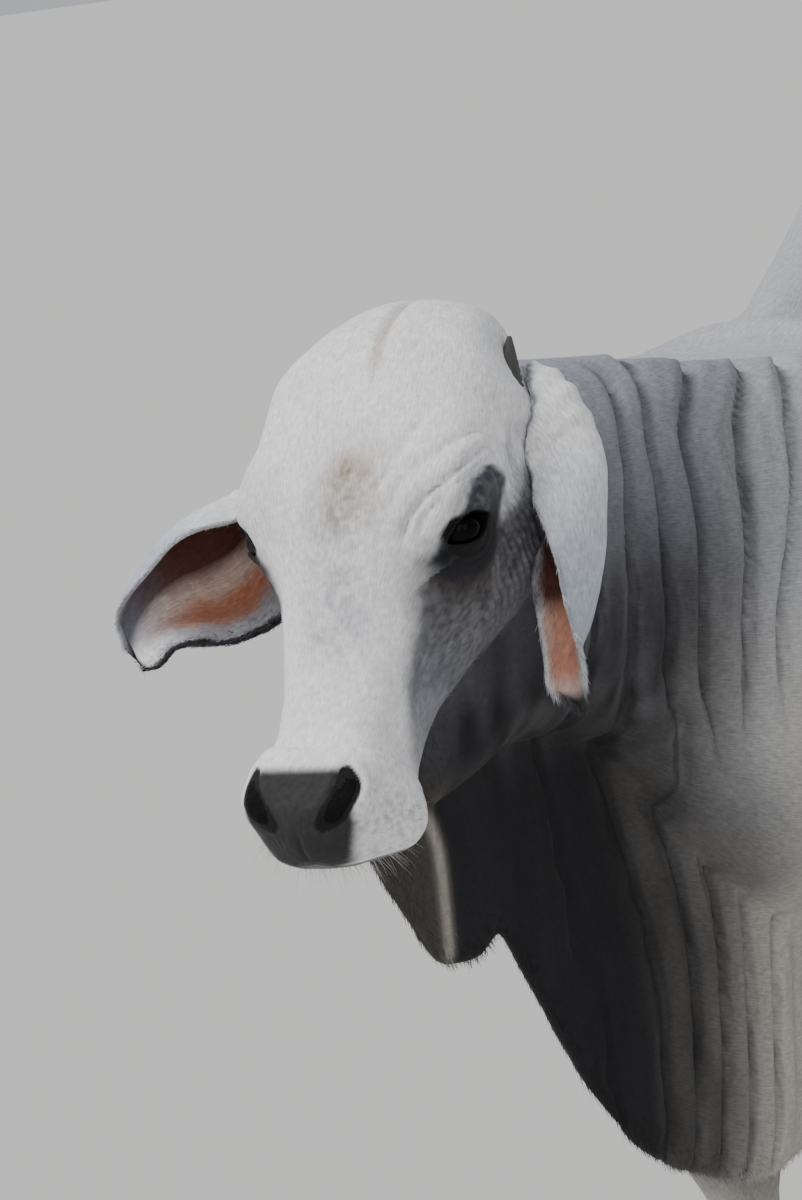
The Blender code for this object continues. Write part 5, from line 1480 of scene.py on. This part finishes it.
def hoof_material():
    """Hoof horn: dark, ringed by growth, dusty grey where it is scuffed."""
    made, tree, shader = finish("hoof_horn", Roughness=0.48)
    spot = node(tree, "ShaderNodeTexCoord").outputs["Object"]
    # Growth rings lie about 9 mm apart up the wall.
    squash = node(tree, "ShaderNodeMapping", {"Scale": (12.0, 12.0, 110.0)}, Vector=spot)
    rings = grain_node(tree, squash.outputs["Vector"], 1.0, 3.0)
    two_tone(tree, shader, rings, "#1f1c1a", "#5b554d", (0.30, 0.75))
    raised(tree, shader, rings, 0.5, 0.0008)
    return made


def eye_material():
    """A wet eyeball: nearly black brown iris and pupil under a clear, glossy cornea; the ball's near black is
    partly painted shade from the lids.
    """
    made, tree, shader = finish("wet_cornea_eye", Roughness=0.08, IOR=1.376, Specular_IOR_Level=0.12)
    tree.links.new(markings_and_painted_shade_node(tree), shader.inputs["Base Color"])
    return made


def coat_material():
    """Single-coloured hair locks: soft, a little glossier than the flat coat."""
    made, tree, shader = finish("hair_locks", Roughness=0.55, Specular_IOR_Level=0.30)
    tree.links.new(markings_and_painted_shade_node(tree), shader.inputs["Base Color"])
    return made


def floor_material():
    """Matt studio vinyl: pale, even and without gloss."""
    made, tree, shader = finish("matt_studio_vinyl", Roughness=0.85)
    spot = node(tree, "ShaderNodeTexCoord").outputs["Object"]
    two_tone(tree, shader, grain_node(tree, spot, 40.0, 2.0), "#c6c5c2", "#cac9c6")
    return made


# The coat.

# The size on the OFBake map of the patch under each lock.
BAKE_PATCH = 0.003

# Each kind of tuft: how many locks, their length and half width, the degrees they rise by, the seed of
# their random draws, their shade against the skin below them, and how far they droop.
TUFTS = {
    "ear_left_fringe": (1700, 0.010, 0.00045, 26, 101, 1.1, 0.15),
    "ear_right_fringe": (1700, 0.006, 0.00045, 24, 102, 1.0, 0.15),
    "ear_cup_hair": (1800, 0.012, 0.00045, 22, 103, 1.1, 0.15),
    "face_coat": (7500, 0.0065, 0.00042, 12, 104, 1.0, 0.15),
    "dewlap_hair": (3200, 0.012, 0.00055, 20, 105, 1.2, 0.3),
    "crest_coat": (5200, 0.009, 0.00050, 14, 106, 1.05, 0.15),
    "belly_coat": (3400, 0.010, 0.00055, 16, 107, 1.0, 0.15),
    "sheath_tuft": (160, 0.032, 0.00080, 20, 108, 0.7, 0.4),
    "coronet_hair": (3600, 0.013, 0.00055, 16, 109, 0.9, 0.3),
    "leg_coat": (4200, 0.010, 0.00055, 16, 110, 1.0, 0.15),
    "flank_coat": (8000, 0.010, 0.00055, 8, 111, 1.0, 0.15),
    "chin_whiskers": (90, 0.026, 0.00032, 55, 112, 1.2, 0.5),
    "lip_whiskers": (110, 0.016, 0.00030, 50, 113, 1.0, 0.4),
    "throat_hair": (1500, 0.012, 0.00050, 18, 114, 1.15, 0.4),
}
# Whiskers have a colour of their own, and more rings than the other tufts.
WHISKERS = {"chin_whiskers": "#c9c5bf", "lip_whiskers": "#b7b2ab"}
TUFT_RINGS = 4
WHISKER_RINGS = 6
SWITCH_LOCKS = 300
SWITCH_RINGS = 12
LASHES = 34


def bake_places(part, place, x):
    """Where each root lies on an unwrap of the skin: a tile for each part, along it and round it."""
    cell = np.round(part).astype(int) - 1
    leg = np.isin(cell + 1, LEG_PARTS)
    around = np.where(leg, place[:, 2] * 0.48 + np.where(x > 0, 0.5, 0.0), place[:, 2] * 0.96)
    return np.stack([(cell % 3 + 0.02 + around) / 3, (cell // 3 + 0.02 + 0.96 * place[:, 1]) / 3], axis=1)


def lock_rings(path, side, deep, thick, around):
    """Rings round the middle line of each lock, in its two cross directions, at its thickness."""
    angle = full_turn(around)[:, None]
    return path[:, :, None] + thick * (side * np.cos(angle) + deep * np.sin(angle))


def lock_mesh(name, rings, colour, spots):
    """Many closed locks in one mesh, from rings given as lock, ring, side: a cap at both ends.

    Each lock has one colour and a small patch of the OFBake map at its root's place.
    """
    count, along, around = rings.shape[:3]
    index = np.arange(count * along * around).reshape(count, along, around)
    turned = np.roll(index, -1, axis=2)
    sides = np.stack([index[:, :-1], turned[:, :-1], turned[:, 1:], index[:, 1:]], axis=3).reshape(-1, 4)
    points = rings.reshape(-1, 3)
    first, last = index[:, 0, ::-1], index[:, -1]
    a, b, c = (points[sides[:, k]] for k in range(3))
    middle = np.repeat(rings.mean(axis=2)[:, :-1].reshape(-1, 3), around, axis=0)
    if (np.cross(b - a, c - a) * ((a + c) / 2 - middle)).sum() < 0:
        sides, first, last = sides[:, ::-1], first[:, ::-1], last[:, ::-1]
    made = mesh_object(name, points, sides.tolist() + first.tolist() + last.tolist())
    angle = full_turn(around)
    reach = BAKE_PATCH / 2 * np.linspace(1.0, 0.35, along)[:, None]
    offset = np.stack([reach * np.cos(angle), reach * np.sin(angle)], axis=2)
    spread = (spots[:, None, None] + offset[None]).reshape(-1, 2)
    corners = np.concatenate([sides.ravel(), first.ravel(), last.ravel()])
    layer = made.data.uv_layers.new(name="OFBake")
    layer.data.foreach_set("uv", spread[corners].astype(np.float32).ravel())
    colour_attribute(made.data, np.repeat(colour, along * around, axis=0))
    return made


def skin_roots(skin, weight, count, chance):
    """Random places on the skin, more where the weight is high: point, normal, part and place."""
    mesh = skin.data
    mesh.calc_loop_triangles()
    corners = np.empty(len(mesh.loop_triangles) * 3, np.int32)
    mesh.loop_triangles.foreach_get("vertices", corners)
    corners = corners.reshape(-1, 3)
    points, normal = read(mesh, "co", 3), read(mesh, "normal", 3)
    part, place = read(mesh, "part", 1), read(mesh, "place", 3)
    a, b, c = (points[corners[:, k]] for k in range(3))
    area = np.linalg.norm(np.cross(b - a, c - a), axis=1)
    whole = np.isin(part[corners], SOLID_PARTS).all(axis=1)
    share = area * weight[corners].min(axis=1) * whole
    picked = corners[chance.choice(len(corners), count, p=share / share.sum())]
    first, second = np.sort(chance.random((2, count)), axis=0)
    mix = np.stack([first, second - first, 1 - second], axis=1)[..., None]
    return ((points[picked] * mix).sum(axis=1), unit((normal[picked] * mix).sum(axis=1)),
            part[picked[:, 0]], place[picked[:, 0]])


def flattened(way, normal):
    """Directions laid flat on the skin."""
    return unit(way - normal * (way * normal).sum(axis=1)[:, None])


def hair_lie(points, part, normal):
    """Which way the hair lies: back and down over the body, down the legs, and out along the ears."""
    ahead, out, _ = head_axes()
    way = np.broadcast_to([0.0, 0.55, -0.60], points.shape).copy()
    way[np.isin(part, (*LEG_PARTS, TAIL_PART, SMALL_PART))] = (0.0, 0.15, -1.0)
    trunk = part == TRUNK_PART
    way[trunk, 1] += 0.3 * ease(points[trunk, 1], -0.3, 0.1)
    way[trunk, 2] -= 0.6 * ease(points[trunk, 1], -0.3, -0.5)
    local = to_head(points)
    face = -0.8 * ahead + np.outer(local[:, 1] * 5, out)
    face = np.where(local[:, :1] > 0.10, face - [0, 0, 0.35], -face)
    way = np.where((part == HEAD_PART)[:, None], face, way)
    for ear, outward in zip(EAR_PARTS, EAR_LIES):
        way = np.where((part == ear)[:, None], (from_head(outward) - POLL) * 5, way)
    return flattened(way, normal)


def grow(name, skin, weight, material):
    """Tufts rooted in the skin: three-sided tapering blades that rise by the lift and bow back down.

    A blade's middle line leaves along the lie turned up by the lift, then bends by the square of
    the way along it towards the ground.
    """
    count, length, radius, lift, seed, shade, droop = TUFTS[name]
    chance = np.random.default_rng(seed)
    root, normal, part, place = skin_roots(skin, weight, count, chance)
    part = np.round(part)
    lie = flattened(hair_lie(root, part, normal) + chance.normal(0, 0.22, (count, 3)), normal)
    rise = np.radians(lift) * (0.6 + 0.8 * chance.random(count))[:, None]
    ahead = lie * np.cos(rise) + normal * np.sin(rise)
    reach = (length * (0.55 + 0.6 * chance.random(count)))[:, None, None]
    rings = WHISKER_RINGS if name in WHISKERS else TUFT_RINGS
    t = np.linspace(0, 1, rings)[None, :, None]
    bend = np.array([0.0, 0.0, -droop]) - normal * 0.35 * np.sin(rise)
    sunk = (root - normal * SKIN_DEPTH)[:, None]
    path = sunk + reach * (ahead[:, None] * t + bend[:, None] * t * t)
    side = unit(np.cross(ahead, normal))[:, None, None]
    thick = radius * (0.7 + 0.6 * chance.random(count))[:, None, None] * (1.0 - 0.88 * t ** 1.5)
    blades = lock_rings(path, side, 0.5 * normal[:, None, None], thick[..., None], 3)
    own = WHISKERS.get(name)
    colour = np.tile(linear(own), (count, 1)) if own else markings_and_painted_shade(root, part, place)
    colour = colour * (shade * (0.85 + 0.3 * chance.random(count)))[:, None]
    made = lock_mesh(name, blades, colour, bake_places(part, place, root[:, 0]))
    return settle_piece(made, material, None)


def ear_hair(part, place):
    """Where the ears' fringes and the hair in their cups grow."""
    along, around = place[:, 1], place[:, 2]
    across = np.abs(across_ear(around))
    near_ear, far_ear = part == EAR_LEFT_PART, part == EAR_RIGHT_PART
    rim = ease(across, 0.82, 0.97)
    cup = (around > 0.5) * ease(across, 0.35, 0.85)
    return {
        "ear_left_fringe": near_ear * rim * ease(along, 0.06, 0.2),
        "ear_right_fringe": far_ear * rim * ease(along, 0.1, 0.3),
        "ear_cup_hair": (near_ear | far_ear) * cup * ease(along, 0.1, 0.3),
    }


def head_hair(part, points):
    """Where the face's coat, the whiskers and the throat's hair grow."""
    local = to_head(points)
    a, _, b = local.T
    head = part == HEAD_PART
    far, _ = around_eye(local)
    bare = nose_pad(local) < 0.02
    face = head * bare * ease(far, 0.045, 0.060) * ease(a, 0.54, 0.50)
    throat = (part == TRUNK_PART) * ease(points[:, 1], -0.86, -0.90)
    return {
        "face_coat": face * (0.35 + ease(a, 0.12, 0.0) + ease(b, -0.10, -0.16)),
        "chin_whiskers": head * ease(b, -0.062, -0.080) * ease(a, 0.500, 0.525),
        "lip_whiskers": head * bare * ease(a, 0.465, 0.49) * window(b, -0.11, -0.09, -0.04, -0.02),
        "throat_hair": throat + head * ease(b, -0.14, -0.18) * ease(a, 0.25, 0.32),
    }


def body_hair(part, points):
    """Where the coat breaks the outline of the trunk and the legs."""
    _, y, z = points.T
    trunk, small, legs = part == TRUNK_PART, part == SMALL_PART, np.isin(part, LEG_PARTS)
    places, tops, bottoms = np.array(TRUNK).T[:3]
    top, bottom = np.interp(y, places, tops), np.interp(y, places, bottoms)
    crest = trunk * ease(z, top - 0.05, top - 0.012) * ease(y, -0.74, -0.70)
    rolls = ease(np.abs(np.sin(math.pi * crease_count(y, z))), 0.45, 0.70)
    return {
        "dewlap_hair": trunk * ease(z, bottom + 0.05, bottom + 0.01) * ease(y, -0.20, -0.32),
        "crest_coat": crest * rolls + 0.3 * crest * (y > -0.2),
        "belly_coat": trunk * ease(z, bottom + 0.07, bottom + 0.02) * ease(y, -0.25, -0.1) + small,
        "sheath_tuft": small * ease(z, 0.52, 0.49) * ease(y, 0.5, 0.4),
        "coronet_hair": legs * ease(z, 0.125, 0.095),
        "leg_coat": legs * bump(z, 0.150, 0.035) + 0.25 * legs * ease(z, 0.60, 0.45),
        "flank_coat": (trunk * ease(y, -0.30, -0.1) * ease(z, top - 0.05, top - 0.09)
                       + legs * ease(z, 0.5, 0.6)),
    }


def make_coat(skin, material):
    """Hair that breaks the outline: ear fringes, crest, dewlap edge, belly, legs, sheath and whiskers."""
    points = read(skin.data, "co", 3) - HOME
    part = np.round(read(skin.data, "part", 1))
    write_points(skin.data, points)
    weights = {**ear_hair(part, read(skin.data, "place", 3)), **head_hair(part, points),
               **body_hair(part, points)}
    for name in TUFTS:
        grow(name, skin, weights[name], material)
    write_points(skin.data, points + HOME)


def make_switch(material):
    """The tail's tuft: long dark locks that leave the tail, swell out, wave a little and taper to the tip.

    A lock's distance from the tail's middle is the sine of half a turn of the way along it.
    """
    count = SWITCH_LOCKS
    chance = np.random.default_rng(12)
    turn = 2.4 * np.arange(count)
    start = SWITCH_TOP - SWITCH_ROOTS * chance.random(count)
    length = (start - SWITCH_TIP) * (0.62 + 0.38 * chance.random(count) ** 0.7)
    share = np.linspace(0, 1, SWITCH_RINGS)
    drop = start[:, None] - length[:, None] * share
    y = np.interp(-drop, [-row[1] for row in TAIL_PATH], [row[0] for row in TAIL_PATH])
    flat = np.zeros(count)
    away = np.stack([np.cos(turn), np.sin(turn), flat], axis=1)
    side = np.stack([-away[:, 1], away[:, 0], flat], axis=1)
    bulge = 0.008 + 0.030 * np.sin(math.pi * share ** 0.8) * (0.15 + 0.85 * chance.random(count))[:, None]
    wave = 0.004 * np.sin(share * 9 + turn[:, None]) * share
    path = np.stack([away[:, :1] * bulge + wave, y + away[:, 1:2] * bulge + wave, drop], axis=2)
    width = 0.0034 * np.interp(share, (0, 0.2, 0.7, 1.0), (0.7, 1.0, 0.75, 0.08))
    rings = lock_rings(path, side[:, None, None], 0.6 * away[:, None, None], width[None, :, None, None], 5)
    colour = linear("#252326") * (0.6 + 0.9 * chance.random(count))[:, None]
    along = 0.80 + 0.15 * (SWITCH_TOP - start) / SWITCH_ROOTS
    place = np.stack([flat, along, turn / (2 * math.pi) % 1], axis=1)
    made = lock_mesh("tail_switch_locks", rings, colour, bake_places(np.full(count, TAIL_PART), place, flat))
    settle_piece(made, material, None)


def make_lashes(material):
    """Dark lashes that stand out from the upper lids and hang over the eyes."""
    count = LASHES
    chance = np.random.default_rng(13)
    for side, word in SIDES:
        look, long, tall = lid_frame(side)
        t = np.linspace(-0.85, 0.75, count)[:, None]
        rise = np.sqrt(1 - t * t) * LID_TALL * 1.05
        root = t * LID_LONG * long + rise * tall
        root = root + look * np.sqrt((EYE_RADIUS + 0.003) ** 2 - (root ** 2).sum(axis=1))[:, None]
        ahead = unit(look * 0.75 + tall * 0.35 - long * 0.25 * t + chance.normal(0, 0.08, (count, 3)))
        reach = 0.013 * (0.7 + 0.5 * chance.random(count))[:, None, None]
        share = np.linspace(0, 1, 6)[None, :, None]
        bow = ahead[:, None] * share - 0.45 * tall * share ** 2
        path = on_side(EYE_PLACE, side) + root[:, None] + reach * bow
        thick = 0.00034 * (1 - 0.8 * share)[..., None]
        rings = lock_rings(path, long, np.cross(look, long), thick, 3)
        spots = np.stack([np.full(count, 0.5), 0.12 + 0.001 * np.arange(count)], axis=1) + [0.01 * side, 0]
        colour = np.tile(linear("#141214"), (count, 1))
        made = lock_mesh("eyelashes_" + word, from_head(rings), colour, spots)
        settle_piece(made, material, None)


# Pieces.

# The solids that the skin stands for.
FLESH = ("head", "neck", "dewlap", "hump", "torso", "tail", "ear_left", "ear_right",
         "foreleg_left", "foreleg_right", "hindleg_left", "hindleg_right")


def settle_piece(made, material, replaced):
    """Moves a finished mesh home, gives it its finish and ties it to the frame."""
    points = read(made.data, "co", 3) + HOME
    write_points(made.data, points)
    made.data.materials.clear()
    made.data.materials.append(material)
    made.data.shade_smooth()
    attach(made, "root")
    if replaced:
        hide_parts(*replaced)
    return made


def make_skin(material):
    """The whole skin in one piece, with its markings."""
    skin = build_skin()
    fair_joins(skin)
    sculpt(skin)
    carve(skin)
    mesh = skin.data
    points = read(mesh, "co", 3)
    colour_attribute(mesh, markings_and_painted_shade(points, read(mesh, "part", 1), read(mesh, "place", 3)))
    settle_piece(skin, material, FLESH)
    return skin


def make_eyes(material):
    """Each eyeball: a sphere with a low corneal dome, brown iris and wide level pupil, the whole ball painted
    nearly black as painted shade from the lids.
    """
    for side, word in SIDES:
        centre = from_head(on_side(EYE_PLACE, side))
        look, long, tall = (from_head(v) - POLL for v in lid_frame(side))
        rings = ball_rings(np.zeros(3), 1.0, 72, 96)
        dome = 0.0014 * ease(rings @ look, 0.80, 0.97)
        made = surface("eye_" + word + "_ball", centre + rings * (EYE_RADIUS - 0.0004 + dome)[..., None])
        offset = (read(made.data, "co", 3) - centre) / EYE_RADIUS
        across, rise, front = offset @ long, offset @ tall, offset @ look > 0
        # Painted shade: the ball outside the iris, where the white would be, is nearly black, as if in the
        # lids' shade.
        colour = np.broadcast_to(linear("#0b0808"), offset.shape)
        colour = mixed(colour, linear("#070505"), ease(np.hypot(across, rise), 0.66, 0.60) * front)
        colour = mixed(colour, linear("#030303"), ease(np.hypot(across / 1.7, rise), 0.26, 0.22) * front)
        colour_attribute(made.data, colour)
        settle_piece(made, material, ["eye_" + word])


def make_horns(material):
    """The two short horns."""
    for side, word in SIDES:
        made = surface("horn_" + word + "_sheath", horn_rings(side))
        settle_piece(made, material, ["horn_" + word])


def make_hooves(material):
    """Eight claws, two under each leg."""
    for side, word in SIDES:
        for kind, (rows, _) in LEGS.items():
            z, x, y = rows[-1][:3]
            y += STEP[kind + "leg_" + word] * step_share(z) - 0.012
            for place, way in (("outer", side), ("inner", -side)):
                cad = kind + "hoof_" + word + "_" + place
                made = surface(cad + "_wall", claw_rings(side * x, y, way))
                settle_piece(made, material, [cad])


def make_floor(material):
    """A wide level disc that the hooves stand on."""
    turn = full_turn(FLOOR_SIDES)
    rim = np.stack([np.cos(turn), np.sin(turn), np.zeros(FLOOR_SIDES)], axis=1)
    inner = np.arange(FLOOR_SIDES)
    ahead = np.roll(inner, -1)
    band = np.stack([inner, inner + FLOOR_SIDES, ahead + FLOOR_SIDES, ahead], axis=1)
    faces = [inner.tolist()] + band.tolist() + (band + FLOOR_SIDES).tolist()
    made = mesh_object("studio_floor", np.concatenate([rim * radius for radius in FLOOR_RADII]), faces)
    made.data.materials.append(material)


# The studio and the camera.


def light(name, kind, direction, **settings):
    """A light that shines against the direction, with its other settings."""
    data = bpy.data.lights.new(name, kind)
    for setting, value in settings.items():
        setattr(data, setting, value)
    made = linked(name, data)
    made.rotation_euler = Vector(direction).to_track_quat("Z", "Y").to_euler()
    return made


def make_studio():
    """Pale surroundings, a broad soft sun from above in front, and a weak fill from the side."""
    world = bpy.data.worlds.new("studio_air")
    world.use_nodes = True
    air = world.node_tree.nodes["Background"]
    air.inputs["Color"].default_value = (*linear("#e4e7ec"), 1)
    air.inputs["Strength"].default_value = WORLD_STRENGTH
    bpy.context.scene.world = world
    light("key_light", "SUN", SUN_FROM, energy=SUN_STRENGTH, angle=math.radians(35))
    side = light("side_light", "AREA", np.subtract(SIDE_LIGHT_PLACE, SIDE_LIGHT_AIM), size=3.0, energy=30.0)
    side.location = SIDE_LIGHT_PLACE


def make_camera():
    """The photograph's view: a long lens a little above the head, rolled eight degrees."""
    a, e, r = CAMERA_AZIMUTH, CAMERA_ELEVATION, CAMERA_ROLL
    back = np.array([math.sin(a) * math.cos(e), -math.cos(a) * math.cos(e), math.sin(e)])
    level = np.array([math.cos(a), math.sin(a), 0.0])
    upright = np.cross(back, level)
    right = level * math.cos(r) - upright * math.sin(r)
    up = level * math.sin(r) + upright * math.cos(r)
    data = bpy.data.cameras.new("camera")
    data.lens = CAMERA_LENS
    data.sensor_width = 36.0
    data.clip_end = 1000.0
    made = linked("camera", data)
    turned = Matrix(np.stack([right, up, back], axis=1).tolist()).to_4x4()
    turned.translation = Vector(AIM + back * CAMERA_DISTANCE + HOME)
    made.matrix_world = turned
    bpy.context.scene.camera = made


def main():
    make_camera()
    make_studio()
    make_floor(floor_material())
    skin = make_skin(hide_material())
    locks = coat_material()
    make_coat(skin, locks)
    make_switch(locks)
    make_lashes(locks)
    make_eyes(eye_material())
    make_horns(horn_material())
    make_hooves(hoof_material())


main()
